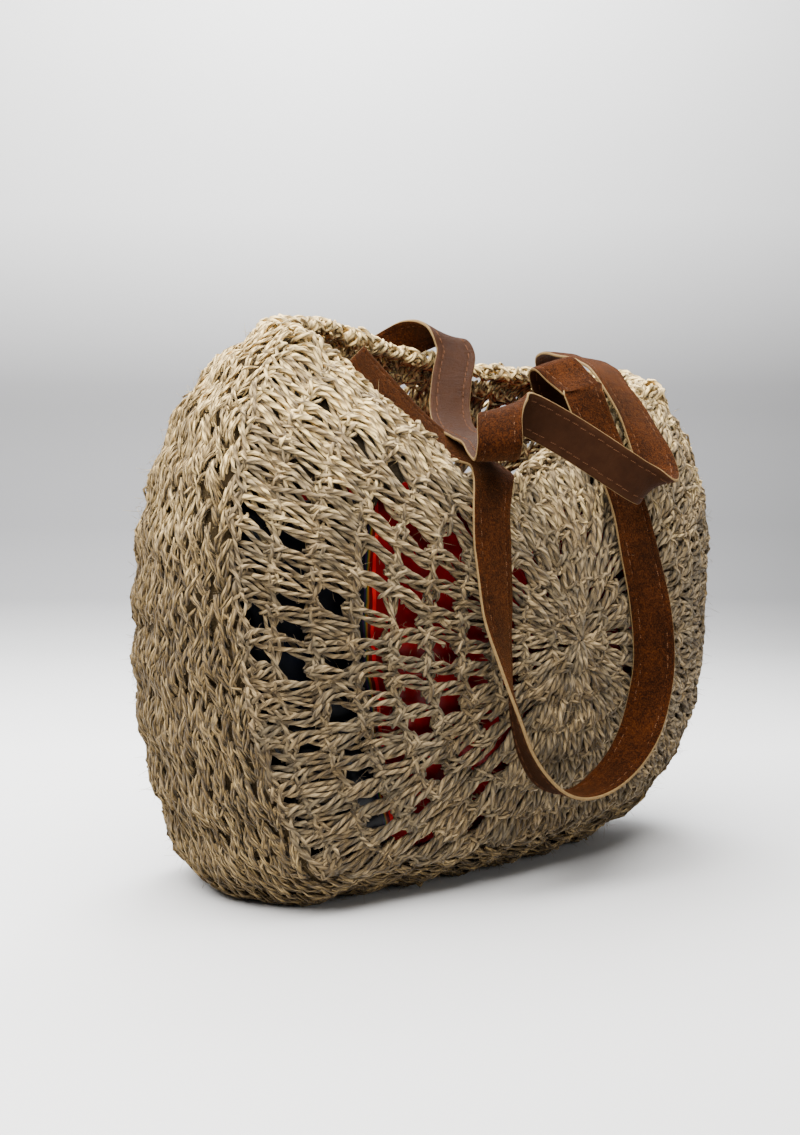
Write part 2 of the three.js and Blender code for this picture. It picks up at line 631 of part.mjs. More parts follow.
// How far the lining's edge is drawn in at one bearing: its top is level, and
// lower than the rim.
function liningDrop(side, bearing, inset) {
  const reach = reachAt(side, bearing) - INSET_REACH * inset;
  const at = turn(bearing);
  const rise = Math.sin(radians(at));
  const inMouth = Math.max(0, (at - MOUTH_RIGHT) * (MOUTH_LEFT - at));
  const share = inMouth / (MOUTH_LEFT - MOUTH_RIGHT) ** 2;
  const drop = LINING_DROP * Math.min(1, LINING_FADE * share);
  const level = rise > LINING_LEVEL_FROM ? reach - (LINING_TOP - MIDDLE_HEIGHT) / rise : 0;
  return Math.max(0, drop, level);
}

// The lining: a thin sheet inside the net, two domed walls joined by a band.
function buildLining() {
  const sheet = new Sheet();
  const inset = YARN_DEPTH / 2 + LINING_CLEARANCE + LINING_THICKNESS / 2;
  const half = LINING_THICKNESS / 2;
  const floor = YARN_DEPTH + half + LINING_LIFT;
  const bearings = COLUMNS.filter((bearing, index) => index % 2 === 0);
  const count = bearings.length;
  const thick = (middle, normal) => sheet.point(
    middle.clone().addScaledVector(normal, half),
    middle.clone().addScaledVector(normal, -half)
  );
  const walls = [FRONT, BACK].map((side) => {
    const add = (...corners) => sheet.face(...(side.y > 0 ? corners.reverse() : corners));
    const hub = thick(vec(0, side.y * (side.dome - inset), MIDDLE_HEIGHT), vec(0, side.y, 0));
    const grid = bearings.map((bearing) => LINING_RINGS.map((share) => {
      const drop = liningDrop(side, bearing, inset);
      const { normal } = panelFrame(side, share, bearing, inset, drop);
      return thick(panelPoint(side, share, bearing, inset, drop), normal);
    }));
    for (let i = 0; i < count; i += 1) {
      const n = (i + 1) % count;
      add(hub, grid[i][0], grid[n][0]);
      for (let r = 0; r + 1 < LINING_RINGS.length; r += 1) {
        add(grid[i][r], grid[i][r + 1], grid[n][r + 1], grid[n][r]);
      }
    }
    return grid.map((column) => column[column.length - 1]);
  });
  const closed = bearings.map((bearing) => [FRONT, BACK].some(
    (side) => liningDrop(side, bearing, inset) === 0
  ));
  const band = bearings.map((bearing, i) => {
    const row = [walls[0][i]];
    for (let k = 1; k < LINING_CELLS; k += 1) {
      const across = 2 * k / LINING_CELLS - 1;
      const drop = Math.max(
        liningDrop(FRONT, bearing, inset),
        liningDrop(BACK, bearing, inset)
      );
      const at = bearing < MOUTH_LEFT ? bearing + 360 : bearing;
      const middle = gussetPoint(at, across, floor, LINING_BULGE, inset, drop);
      row.push(thick(middle, gussetNormal(at, across, floor, LINING_BULGE, inset, drop)));
    }
    row.push(walls[1][i]);
    return row;
  });
  for (let i = 0; i < count; i += 1) {
    const n = (i + 1) % count;
    if (!closed[i] && !closed[n]) {
      continue;
    }
    for (let k = 0; k < LINING_CELLS; k += 1) {
      sheet.face(band[i][k], band[i][k + 1], band[n][k + 1], band[n][k]);
    }
  }
  return sheet.geometry();
}

const yarn = new THREE.MeshStandardMaterial({ color: 0xb9a47c, roughness: 0.95 });
const leather = new THREE.MeshStandardMaterial({ color: 0x6d4a35, roughness: 0.6 });
const coated = new THREE.MeshStandardMaterial({ color: 0x8a0c10, roughness: 0.2 });
const group = new THREE.Group();
group.name = 'side_bag';

function addPiece(name, geometry, material) {
  const mesh = new THREE.Mesh(geometry, material);
  mesh.name = name;
  group.add(mesh);
}

addPiece('front_panel', buildPanel(FRONT), yarn);
addPiece('back_panel', buildPanel(BACK), yarn);
addPiece('side_gusset', buildGusset(), yarn);
addPiece('mouth_edging', buildEdging(), yarn);
addPiece('lining', buildLining(), coated);
addPiece('front_strap', buildStrap(FRONT_STRAP_PATH), leather);
addPiece('back_strap', buildStrap(BACK_STRAP_PATH), leather);

export default group;
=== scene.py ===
import math

import bpy
import numpy as np
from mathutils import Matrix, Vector


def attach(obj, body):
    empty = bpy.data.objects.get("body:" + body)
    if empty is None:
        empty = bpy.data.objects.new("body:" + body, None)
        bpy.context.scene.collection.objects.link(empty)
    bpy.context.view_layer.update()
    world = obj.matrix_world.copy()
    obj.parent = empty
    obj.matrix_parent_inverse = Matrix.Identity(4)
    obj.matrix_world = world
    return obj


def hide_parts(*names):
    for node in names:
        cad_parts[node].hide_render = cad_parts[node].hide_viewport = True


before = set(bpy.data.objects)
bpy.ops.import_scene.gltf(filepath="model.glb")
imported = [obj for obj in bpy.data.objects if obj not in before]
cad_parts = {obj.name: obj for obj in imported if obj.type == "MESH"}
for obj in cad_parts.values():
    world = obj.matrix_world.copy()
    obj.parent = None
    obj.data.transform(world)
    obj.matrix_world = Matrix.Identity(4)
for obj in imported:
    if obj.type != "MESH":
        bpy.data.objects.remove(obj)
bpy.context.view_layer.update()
bpy.ops.object.select_all(action="DESELECT")

# The camera stands at the front left of the bag, a little above its middle,
# with a lens of medium length.
CAMERA_AZIMUTH = math.radians(-35)
CAMERA_HEIGHT = math.radians(5.5)
CAMERA_DISTANCE = 1.060
CAMERA_AIM = Vector((-0.054, 0, 0.176))
away = Vector((
    math.sin(CAMERA_AZIMUTH) * math.cos(CAMERA_HEIGHT),
    -math.cos(CAMERA_AZIMUTH) * math.cos(CAMERA_HEIGHT),
    math.sin(CAMERA_HEIGHT),
))
bpy.ops.object.camera_add(
    location=CAMERA_AIM + away * CAMERA_DISTANCE,
    rotation=(-away).to_track_quat("-Z", "Y").to_euler(),
)
camera = bpy.context.object
camera.data.lens = 57.1
camera.data.sensor_width = 36
camera.data.clip_start = 0.05
camera.data.clip_end = 20
bpy.context.scene.camera = camera

# Front and back panels. Two round pieces of hemp crochet, worked from the
# middle in rounds of tall stitches, each a bundle of yarn between two chains.
# The rounds are pulled open at the peaked end, where the gaps show the lining.

# sizes in millimetres, bearings in degrees round the middle of a panel
MM = 0.001
MM_IN_CM = 10
REACH = 200.0
EDGE_DEPTH = 80.0
DOME = {"front": 100.0, "back": 97.0}
FACING = {"front": -1, "back": 1}
DOME_SHAPE = 2.6
SEAM_RISE = 21.0
MOUTH_RIGHT = 50.0
MOUTH_LEFT = 129.0
INSET_AT_REACH = 1.3
INSET_AT_EDGE = 0.6
YARN_RADIUS = 1.42
HAIR_RADIUS = 0.10
FLOOR_GAP = 0.1
STITCHES_IN_ROUND = [12, 20, 28, 35, 42, 49, 56, 62, 68, 74]
STITCH_LEAN = 0.34
LAST_ROUND = 0.955
EDGE_SHARE = 0.992
FILLER_STRANDS = 4
WRAP_HALF = 5.2
DEGREES_IN_RADIAN = 57.3
GROUND_DEPTH = 3.6
GROUND_THICKNESS = 1.0
GROUND_TOP = 25.0

# each strand of a ring chain: its swing, its height and its reach to the next stitch
CHAIN_STRANDS = (
    (5.0, 0.0, 1.1), (-5.0, -0.6, 1.2), (2.4, 1.2, 1.4), (-2.6, 0.6, 1.2), (0.6, -0.6, 1.0),
)
# bearing, front reach, front swell, back reach, front edge depth, back edge depth
OUTLINE = np.array([
    (0, .73, .73, .74, .58, .60), (25, .80, .80, .80, .58, .60),
    (50, .86, .86, .92, .56, .58), (62, .74, .76, .83, .60, .66),
    (78, .55, .62, .77, .66, .72), (94, .47, .53, .79, .70, .66),
    (108, .43, .50, .87, .70, .50), (119, .44, .62, 1.00, .58, .36),
    (126, .51, .82, 1.07, .40, .27), (127.4, .66, .96, 1.08, .31, .26),
    (129, 1.09, 1.09, 1.09, .24, .24), (140, 1.12, 1.12, 1.10, .40, .36),
    (160, 1.06, 1.06, 1.03, .66, .60), (180, 1.00, 1.00, .97, .82, .74),
    (200, 1.00, 1.00, .98, .92, .80), (213, 1.00, 1.00, 1.00, .95, .84),
    (228, .79, .79, .77, .98, .86), (248, .63, .63, .62, .97, .86),
    (270, .58, .58, .58, .90, .84), (292, .61, .61, .61, .80, .76),
    (315, .69, .69, .69, .70, .66), (338, .73, .73, .74, .62, .62),
])
COLUMNS = {"front": (1, 2, 4), "back": (3, 3, 5)}


def unit(vectors):
    return vectors / np.maximum(np.linalg.norm(vectors, axis=-1, keepdims=True), 1e-9)


def outline(column, bearing):
    """A column of the outline, read at any bearing by a curve without overshoot."""
    knots, values = OUTLINE[:, 0], OUTLINE[:, column]
    at = np.mod(bearing, 360)
    span = np.mod(np.roll(knots, -1) - knots, 360)
    slope = (np.roll(values, -1) - values) / span
    before = np.roll(slope, 1)
    turns = before * slope <= 0
    tangent = np.where(turns, 0, 2 * before * slope / np.where(turns, 1, before + slope))
    i = np.searchsorted(knots, at, side="right") - 1
    n = (i + 1) % len(knots)
    t = (at - knots[i]) / span[i]
    return (
        (2 * t**3 - 3 * t**2 + 1) * values[i] + (t**3 - 2 * t**2 + t) * tangent[i] * span[i]
        + (3 * t**2 - 2 * t**3) * values[n] + (t**3 - t**2) * tangent[n] * span[i]
    )


def reach_at(side, bearing):
    return REACH * outline(COLUMNS[side][0], bearing)


lower = np.arange(180.0, 361.0)
deepest = max(
    float(np.max(-reach_at(side, lower) * np.sin(np.radians(lower)))) for side in COLUMNS
)
MIDDLE_HEIGHT = SEAM_RISE + deepest


def panel_surface(side, share, bearing, inset=0.0, drop=0.0):
    """Points of a panel, at a share of the way from its middle to its edge."""
    share, bearing = np.broadcast_arrays(share, bearing)
    reach = reach_at(side, bearing) - INSET_AT_REACH * inset - drop
    swell = REACH * outline(COLUMNS[side][1], bearing) - INSET_AT_REACH * inset
    edge = EDGE_DEPTH * outline(COLUMNS[side][2], bearing) - INSET_AT_EDGE * inset
    dome = DOME[side] - inset
    along = share * reach
    depth = dome - (dome - edge) * (along / swell) ** DOME_SHAPE
    angle = np.radians(bearing)
    return np.stack([
        along * np.cos(angle), FACING[side] * depth, MIDDLE_HEIGHT + along * np.sin(angle)
    ], axis=-1)


def panel_normal(side, share, bearing, inset=0.0, drop=0.0):
    low = np.maximum(share - 0.01, 0.004)
    out = panel_surface(side, low + 0.02, bearing, inset, drop)
    out = out - panel_surface(side, low, bearing, inset, drop)
    wide = np.maximum(share, 0.05)
    turn = panel_surface(side, wide, bearing + 0.6, inset, drop)
    turn = turn - panel_surface(side, wide, bearing - 0.6, inset, drop)
    normal = unit(np.cross(out, turn))
    return np.where((normal[..., 1] * FACING[side] < 0)[..., None], -normal, normal)


class Yarn:
    """Strands of one piece, gathered into one mesh of four-sided tubes."""

    def __init__(self):
        self.points, self.faces, self.uvs, self.tones, self.count = [], [], [], [], 0

    def lay(self, lines, ups, radius, tone, taper=0.7):
        strands, steps = lines.shape[:2]
        radius, tone = np.broadcast_to(radius, (strands,)), np.broadcast_to(tone, (strands,))
        lines = lines.copy()
        lines[..., 2] = np.maximum(lines[..., 2], radius[:, None] + FLOOR_GAP)
        along = unit(np.gradient(lines, axis=1))
        side = unit(np.cross(along, ups))
        up = np.cross(side, along)
        shape = np.ones(steps)
        shape[0] = shape[-1] = taper
        size = radius[:, None, None] * shape[None, :, None]
        ring = [
            lines + size * (math.cos(a) * side + math.sin(a) * up)
            for a in (math.pi * (0.25 + 0.5 * k) for k in range(4))
        ]
        points = np.stack(ring, axis=2).reshape(-1, 3)
        start = (self.count + np.arange(strands) * steps * 4)[:, None, None]
        step = (np.arange(steps - 1) * 4)[None, :, None]
        k = np.arange(4)[None, None, :]
        n = (k + 1) % 4
        quads = np.stack([
            start + step + k, start + step + n, start + step + 4 + n, start + step + 4 + k
        ], axis=-1).reshape(-1, 4)
        first = start[:, 0, :] + np.array([[3, 2, 1, 0]])
        last = start[:, 0, :] + (steps - 1) * 4 + np.array([[0, 1, 2, 3]])
        run = np.linalg.norm(np.diff(lines, axis=1), axis=2).cumsum(axis=1)
        run = np.concatenate([np.zeros((strands, 1)), run], axis=1) / MM_IN_CM
        run = run + 7 * tone[:, None]
        u = np.broadcast_to(run[:, :-1, None], (strands, steps - 1, 4))
        w = np.broadcast_to(run[:, 1:, None], (strands, steps - 1, 4))
        v = np.broadcast_to(k / 4, (strands, steps - 1, 4))
        uv = np.stack([
            np.stack([u, v], -1), np.stack([u, v + 0.25], -1),
            np.stack([w, v + 0.25], -1), np.stack([w, v], -1),
        ], axis=-2).reshape(-1, 2)
        caps = np.repeat(np.stack([run[:, 0], run[:, 0] * 0], -1), 4, axis=0)
        self.points.append(points)
        self.faces.extend([quads, first, last])
        self.uvs.extend([uv, caps, caps])
        self.tones.append(np.repeat(tone, steps * 4))
        self.count += len(points)

    def piece(self, name, material):
        return mesh_piece(
            name, np.concatenate(self.points), np.concatenate(self.faces),
            np.concatenate(self.uvs), np.concatenate(self.tones), material
        )


def mesh_piece(name, points, faces, uvs, tones, *materials):
    """A smooth piece from points in mm, with its own UV map and a tone at each point."""
    mesh = bpy.data.meshes.new(name)
    mesh.from_pydata((np.asarray(points) * MM).tolist(), [], np.asarray(faces).tolist())
    mesh.uv_layers.new(name="UVMap").data.foreach_set("uv", np.asarray(uvs).ravel())
    mesh.attributes.new("tone", "FLOAT", "POINT").data.foreach_set(
        "value", np.asarray(tones, dtype=np.float32)
    )
    mesh.polygons.foreach_set("use_smooth", np.ones(len(mesh.polygons), dtype=bool))
    mesh.update()
    for material in materials:
        mesh.materials.append(material)
    piece = bpy.data.objects.new(name, mesh)
    bpy.context.collection.objects.link(piece)
    return piece


class Value:
    """A socket that takes part in sums: each sum adds its Math node."""

    def __init__(self, finish, socket):
        self.finish, self.socket = finish, socket

    def sum(self, operation, *terms, clamp=False):
        return self.finish.node(
            "ShaderNodeMath", {"operation": operation, "use_clamp": clamp},
            dict(enumerate(terms)),
        )

    def __add__(self, other):
        return self.sum("ADD", self, other)

    def __radd__(self, other):
        return self.sum("ADD", other, self)

    def __sub__(self, other):
        return self.sum("SUBTRACT", self, other)

    def __rsub__(self, other):
        return self.sum("SUBTRACT", other, self)

    def __mul__(self, other):
        return self.sum("MULTIPLY", self, other)

    def __rmul__(self, other):
        return self.sum("MULTIPLY", other, self)

    def __truediv__(self, other):
        return self.sum("DIVIDE", self, other)

    def sine(self):
        return self.sum("SINE", self)

    def clamped(self):
        return self.sum("ADD", self, 0.0, clamp=True)

    def power(self, other):
        return self.sum("POWER", self, other)

    def between(self, low, high):
        return self.sum("MULTIPLY", self - low, 1 / (high - low), clamp=True)


class Finish:
    """A material, its nodes made one at a time."""

    def __init__(self, name):
        self.material = bpy.data.materials.new(name)
        self.material.use_nodes = True
        self.tree = self.material.node_tree
        self.shader = self.tree.nodes["Principled BSDF"]

    def node(self, kind, settings, inputs, output=0):
        made = self.tree.nodes.new(kind)
        for key, value in settings.items():
            if key == "interpolation":
                made.color_ramp.interpolation = value
            elif key == "stops":
                ramp = made.color_ramp
                while len(ramp.elements) < len(value):
                    ramp.elements.new(0.5)
                for element, (place, color) in zip(ramp.elements, value):
                    element.position = place
                    element.color = (*color, 1)
            else:
                setattr(made, key, value)
        for key, value in inputs.items():
            self.set(made.inputs[key], value)
        return Value(self, made.outputs[output])

    def set(self, socket, value):
        if isinstance(value, Value):
            self.tree.links.new(value.socket, socket)
        elif socket.type == "RGBA" and len(value) == 3:
            socket.default_value = (*value, 1)
        else:
            socket.default_value = value

    def surface(self, **values):
        for key, value in values.items():
            self.set(self.shader.inputs[key.replace("_", " ")], value)
        return self.material

    def tint(self, factor, first, second):
        return self.node(
            "ShaderNodeMix", {"data_type": "RGBA"}, {0: factor, 6: first, 7: second}, output=2
        )

    def place(self, kind):
        return self.node("ShaderNodeTexCoord", {}, {}, output=kind)

    def parts(self, vector):
        split = self.node("ShaderNodeSeparateXYZ", {}, {0: vector})
        outputs = split.socket.node.outputs
        return [Value(self, outputs[k]) for k in range(3)]

    def vector(self, x, y, z=0.0):
        return self.node("ShaderNodeCombineXYZ", {}, {0: x, 1: y, 2: z})

    def noise(self, vector, scale, detail, rough):
        return self.node(
            "ShaderNodeTexNoise", {},
            {"Vector": vector, "Scale": scale, "Detail": detail, "Roughness": rough},
        )

    def tone(self):
        return self.node(
            "ShaderNodeAttribute", {"attribute_name": "tone"}, {}, output="Fac"
        )

    def bumps(self, height, distance, strength=1.0):
        return self.node(
            "ShaderNodeBump", {},
            {"Height": height, "Distance": distance, "Strength": strength},
        )


PLY_TURN_CM = 1.5
HEMP_GREY = (0.165, 0.138, 0.088)
PLY_GROOVE_SHADE = (0.022, 0.0135, 0.006)


def hemp(name, palest_fibre_and_highlight, straw, middle, shade, grey):
    """Yarn of two plies that turn round each other, with loose fibres along them.

    Its colour goes from straw to a grey brown, and it is paler towards the mouth: partly a paler
    yarn, partly painted light where the top of the bag catches the lamp. The hollows between the
    plies are darkened as painted shade."""
    finish = Finish(name)
    u, v = finish.parts(finish.place("UV"))[:2]
    height_in_bag = finish.parts(finish.place("Object"))[2]
    tone = finish.tone()
    twist = v - u / PLY_TURN_CM
    ply = (twist * (4 * math.pi)).sine() * 0.5 + 0.5
    fibre = finish.noise(finish.vector(u * 1.1, twist * 10.0, tone * 40), 1.0, 3.0, 0.65)
    cloud = finish.noise(finish.place("Object"), 38.0, 2.0, 0.6)
    # painted light: the yarn is made paler towards the top of the bag, partly its own paler colour
    # and partly the stronger light falling on the top
    pale_top_and_painted_light = height_in_bag.between(0.17, 0.30) * 0.52
    light = (tone * 0.45 + fibre * 1.25 + cloud * 0.5 - 0.68 + pale_top_and_painted_light).clamped()
    # the palest stop stands partly for the yarn's palest fibres and partly for painted highlights
    # on the strands
    color = finish.node("ShaderNodeValToRGB", {"stops": [
        (0.0, shade), (0.40, middle), (0.74, straw), (1.0, palest_fibre_and_highlight),
    ]}, {0: light})
    dull = finish.noise(finish.place("Object"), 70.0, 2.0, 0.5).between(0.42, 0.62) * grey
    color = finish.tint(dull, color, HEMP_GREY)
    # painted shade: the yarn is darkened in the hollows between its two plies, where shade falls
    groove = (1 - ply).power(2.0) * 0.8
    color = finish.tint(groove, color, PLY_GROOVE_SHADE)
    height = ply * 0.65 + fibre * 0.5
    return finish.surface(
        Base_Color=color, Roughness=0.92, Specular_IOR_Level=0.15,
        Normal=finish.bumps(height, 0.0008, 1.0),
        Sheen_Weight=0.06, Sheen_Roughness=0.6,
    )


# the panels' and edging's copy of the yarn: darker than the gusset's copy of the same yarn, partly
# a greyer hue and partly painted shade, as the panels face away from the overhead lamp
hemp_yarn_painted_shade = hemp(
    "hemp_yarn_painted_shade", (0.93, 0.67, 0.285), (0.335, 0.235, 0.117), (0.125, 0.084, 0.038),
    (0.024, 0.015, 0.0065), 0.35,
)


def rounds_at(side, bearing):
    """How many rounds lie between the middle and the edge."""
    return np.clip(9.9 * (reach_at(side, bearing) / 205) ** 0.62, 5.6, 10)


def panel_place(side, share, bearing, lift):
    normal = panel_normal(side, share, bearing)
    return panel_surface(side, share, bearing) + lift[..., None] * normal, normal


def bundle(place, steps, strands, wide, deep, shift, rng, wander, belly=0.8, twist=0.0):
    """Strands side by side that cross over each other on their way.

    place(t) gives the middles and ups of all the bundles, shift is how many
    strands' widths each one moves across, and a twist winds them like a rope."""
    t = np.linspace(0, 1, steps)
    middle, up = place(t)
    count = len(middle)
    along = unit(np.gradient(middle, axis=-2))
    side = unit(np.cross(along, up))
    form = belly + (1 - belly) * np.sin(math.pi * t) ** 0.7
    lines = []
    for k in range(strands):
        seat = 2 * (k + 0.5) / strands - 1
        other = 2 * ((k + shift) % strands + 0.5) / strands - 1
        start = seat + rng.normal(0, 0.16, count)
        end = other + rng.normal(0, 0.16, count)
        ease = t**2 * (3 - 2 * t)
        over = start[:, None] + (end - start)[:, None] * ease
        rise = np.sign(other - seat) * np.sin(math.pi * t)[None, :] * 0.8
        rise = rise + 0.9 * (1 - over**2) + rng.normal(0, 0.35, count)[:, None]
        if twist:
            turn = 2 * math.pi * (k / strands + start[:, None] * 0.1)
            turn = turn + twist * (t[None, :] - 0.5) + wide[:, None] * 2.0
            over = np.cos(turn) * (1 + 0.16 * end[:, None])
            rise = np.sin(turn)
        line = middle + (wide[:, None] * form * over)[..., None] * side
        line = line + (deep * rise)[..., None] * up
        wave = np.sin(2 * math.pi * (
            t * rng.uniform(0.7, 1.9, (count, 1)) + rng.uniform(0, 1, (count, 1))
        ))
        line = line + wave[..., None] * rng.normal(0, wander, (count, 1, 3))
        lines.append(line)
    return np.concatenate(lines), np.concatenate([up] * strands)


def fade(place, none, full):
    """0 at one place and 1 at the other, and even between them."""
    return np.clip((place - none) / (full - none), 0, 1)


def closeness(side, bearing, share):
    """How tightly the net is drawn together: 1 in the dense parts, 0 where it gapes."""
    along = share * reach_at(side, bearing)
    x, z = along * np.cos(np.radians(bearing)), along * np.sin(np.radians(bearing))
    gape = fade(x, -22, -48) * fade(z, 84, 70)
    gape = gape * (1 - 0.4 * fade(x, -140, -170)) * fade(z, -130, -106)
    loose = 0.76 * fade(z, -26, -10) * fade(z, 76, 64) * fade(x, 92, 76)
    return 1 - np.maximum(gape, loose)


def hairs(yarn, roots, normals, rng):
    """Loose fibres that stand off the yarn."""
    count = len(roots)
    way = unit(rng.normal(0, 1, (count, 3)) + 0.45 * normals)
    curl = rng.normal(0, 0.35, (count, 3))
    s = np.linspace(0, 1, 3)[None, :, None]
    length = rng.uniform(2.5, 7.5, (count, 1, 1))
    lines = roots[:, None] + length * (way[:, None] * s + curl[:, None] * s**2)
    ups = np.broadcast_to(normals[:, None], lines.shape)
    yarn.lay(lines, ups, HAIR_RADIUS, rng.uniform(0.8, 1.2, count), taper=0.4)


def lay_thread(yarn, lines, ups, rng, thick=1.0, dark=0.1):
    size = YARN_RADIUS * thick * rng.uniform(0.82, 1.15, len(lines))
    yarn.lay(lines, ups, size, rng.uniform(dark, 1.0, len(lines)))


class Round:
    """One round of a panel: the places of its stitches, and the ways yarn takes there."""

    def __init__(self, side, ring, stitches, rng):
        self.side, self.ring = side, ring
        self.pitch = 360 / stitches
        foot = rng.uniform(0, 360) + self.pitch * (np.arange(stitches) + 0.5)
        foot = foot + rng.normal(0, 0.07 * self.pitch, stitches)
        top = foot - self.pitch * (STITCH_LEAN + rng.normal(0, 0.13, stitches))
        rounds = rounds_at(side, foot)
        keep = (ring - 1) / rounds < LAST_ROUND
        self.foot, self.top, rounds = foot[keep], top[keep], rounds[keep]
        self.low = (ring - 1) / rounds
        self.high = np.minimum(ring / rounds, EDGE_SHARE)
        self.count = len(self.foot)
        self.reach = np.maximum(reach_at(side, self.foot), 60)
        self.millimetre = 1 / self.reach
        self.spacing = np.radians(self.pitch) * 0.5 * (self.low + self.high) * self.reach
        self.close = closeness(side, self.foot, self.high)
        wide = np.clip(0.27 * self.spacing, 1.9, 2.8 + 1.4 * self.close)
        self.wide = wide * rng.uniform(0.85, 1.2, self.count)
        self.bulge = rng.uniform(1.8, 3.0, self.count)
        self.bow = rng.normal(-0.10, 0.12, self.count) * self.pitch
        self.deep = rng.uniform(1.3, 1.9, self.count)

    def stitch(self, t, slip=0.0, sink=0.0):
        """A tall stitch, from its foot on one chain to its top on the next."""
        ease = t * t * (3 - 2 * t)
        past_chain = np.where(self.high > 0.98, 0.0, 0.20)[:, None]
        span = (self.high - self.low)[:, None] * ((1.14 + past_chain) * t - 0.14)
        bearing = self.foot[:, None] + (self.top - self.foot)[:, None] * ease + slip * self.pitch
        bearing = bearing + self.bow[:, None] * np.sin(math.pi * t)
        lift = -1.9 - sink + self.bulge[:, None] * np.sin(math.pi * t**1.5)
        share = np.clip(self.low[:, None] + span, 0.012, 0.998)
        return panel_place(self.side, share, bearing, lift)

    def link(self, t, gap, step, swing, height, reach_out):
        """A strand of the ring chain, from the top of one stitch to the next top."""
        over = gap[:, None] * (reach_out * t - (reach_out - 1) / 2)
        sway = self.millimetre[:, None] * (swing * np.cos(math.pi * t) - 1.5)
        share = self.high[:, None] + sway + step[:, None] * t
        at_rim = np.where(self.high > 0.97, 1.8, 0.0)[:, None]
        lift = height - 2.7 + at_rim + 0.9 * np.sin(math.pi * t)
        return panel_place(self.side, np.clip(share, 0.01, 1.0), self.top[:, None] + over, lift)

    def wrap(self, t, turn, twirl):
        """Yarn wrapped over the ring chain at the top of a stitch."""
        span = WRAP_HALF / np.maximum(self.high * self.reach, 8) * DEGREES_IN_RADIAN
        span = np.clip(span, 0, self.pitch * 0.55)
        bearing = self.top[:, None] + span[:, None] * (2 * t[None, :] - 1)
        share = self.high[:, None] - (1.5 + 2.6 * turn) * self.millimetre[:, None]
        share = share + (twirl * self.millimetre)[:, None] * np.cos(math.pi * t)
        lift = np.broadcast_to(-2.2 + 3.6 * np.sin(math.pi * t), share.shape)
        return panel_place(self.side, np.clip(share, 0.01, 1.0), bearing, lift)


def work_stitches(worked, strands, yarn, rng):
    """The tall stitches of a round, and the deeper yarn between them."""
    in_stitch = strands if worked.ring > 1 else 4
    lines, ups = bundle(
        worked.stitch, 8, in_stitch, worked.wide, worked.deep[:, None], 1, rng, 0.45, 0.7,
        rng.uniform(2.6, 4.2),
    )
    lay_thread(yarn, lines, ups, rng)
    filler = rng.uniform(0, 1, worked.count) < 0.12 + worked.close
    lines, ups = bundle(
        lambda t: worked.stitch(t, -0.5, 1.0), 6, FILLER_STRANDS, 0.27 * worked.spacing,
        1.1, 1, rng, 0.9,
    )
    filled = np.tile(filler, FILLER_STRANDS)
    lay_thread(yarn, lines[filled], ups[filled], rng, dark=0.0)


def work_chain(worked, yarn, rng):
    """The ring chain that joins the tops of a round, with the yarn wrapped over it."""
    gap = np.roll(np.mod(worked.top - np.roll(worked.top, 1), 360), -1)
    ends = reach_at(worked.side, worked.top)
    near = (gap < 2.4 * worked.pitch) & (np.abs(np.roll(ends, -1) - ends) < 30)
    step = np.where(near, np.roll(worked.high, -1) - worked.high, 0)
    for swing, height, reach_out in CHAIN_STRANDS:
        lines, ups = bundle(
            lambda t: worked.link(t, gap, step, swing, height, reach_out), 6, 1,
            np.full(worked.count, 0.9), 0.7, 0, rng, 0.9,
        )
        lay_thread(yarn, lines[near], ups[near], rng, 0.88)
    for turn in (-0.8, 0.8):
        twirl = rng.normal(turn, 2.2, worked.count)
        lines, ups = bundle(
            lambda t: worked.wrap(t, turn, twirl), 6, 1, np.full(worked.count, 0.7),
            0.6, 0, rng, 0.6,
        )
        lay_thread(yarn, lines, ups, rng, 0.86)


def crochet_panel(side, seed, strands, loose_fibres):
    """The tall stitches of a panel, and its ring chains with the loose fibres."""
    rng = np.random.default_rng(seed)
    tall, chains = Yarn(), Yarn()
    for index, stitches in enumerate(STITCHES_IN_ROUND):
        worked = Round(side, index + 1, stitches, rng)
        work_stitches(worked, strands, tall, rng)
        work_chain(worked, chains, rng)
    share = np.sqrt(rng.uniform(0.0, 1, loose_fibres))
    bearing = rng.uniform(0, 360, loose_fibres)
    roots, normals = panel_place(side, share, bearing, rng.uniform(0.0, 3.2, loose_fibres))
    hairs(chains, roots, normals, rng)
    return tall, chains


def holed_sheet(name, outer, inner, kept, material):
    """A thin closed sheet, closed round its first way, with some cells left out."""
    rows, columns = outer.shape[:2]
    offset = rows * columns

    def corner(i, j):
        return (i % rows) * columns + j

    def filled(i, j):
        return 0 <= j < columns - 1 and kept[i % rows, j]

    faces = []
    for i, j in np.argwhere(kept):
        square = [corner(i, j), corner(i, j + 1), corner(i + 1, j + 1), corner(i + 1, j)]
        faces.append(square)
        faces.append([offset + c for c in square[::-1]])
        sides = ((0, 1, (i - 1, j)), (1, 2, (i, j + 1)), (2, 3, (i + 1, j)), (3, 0, (i, j - 1)))
        for a, b, beyond in sides:
            if not filled(*beyond):
                faces.append([square[b], square[a], offset + square[a], offset + square[b]])
    points = np.concatenate([outer.reshape(-1, 3), inner.reshape(-1, 3)])
    used, places = np.unique(np.array(faces), return_inverse=True)
    faces = places.reshape(-1, 4)
    return mesh_piece(
        name, points[used], faces, np.zeros((faces.size, 2)), np.full(len(used), 0.3), material
    )


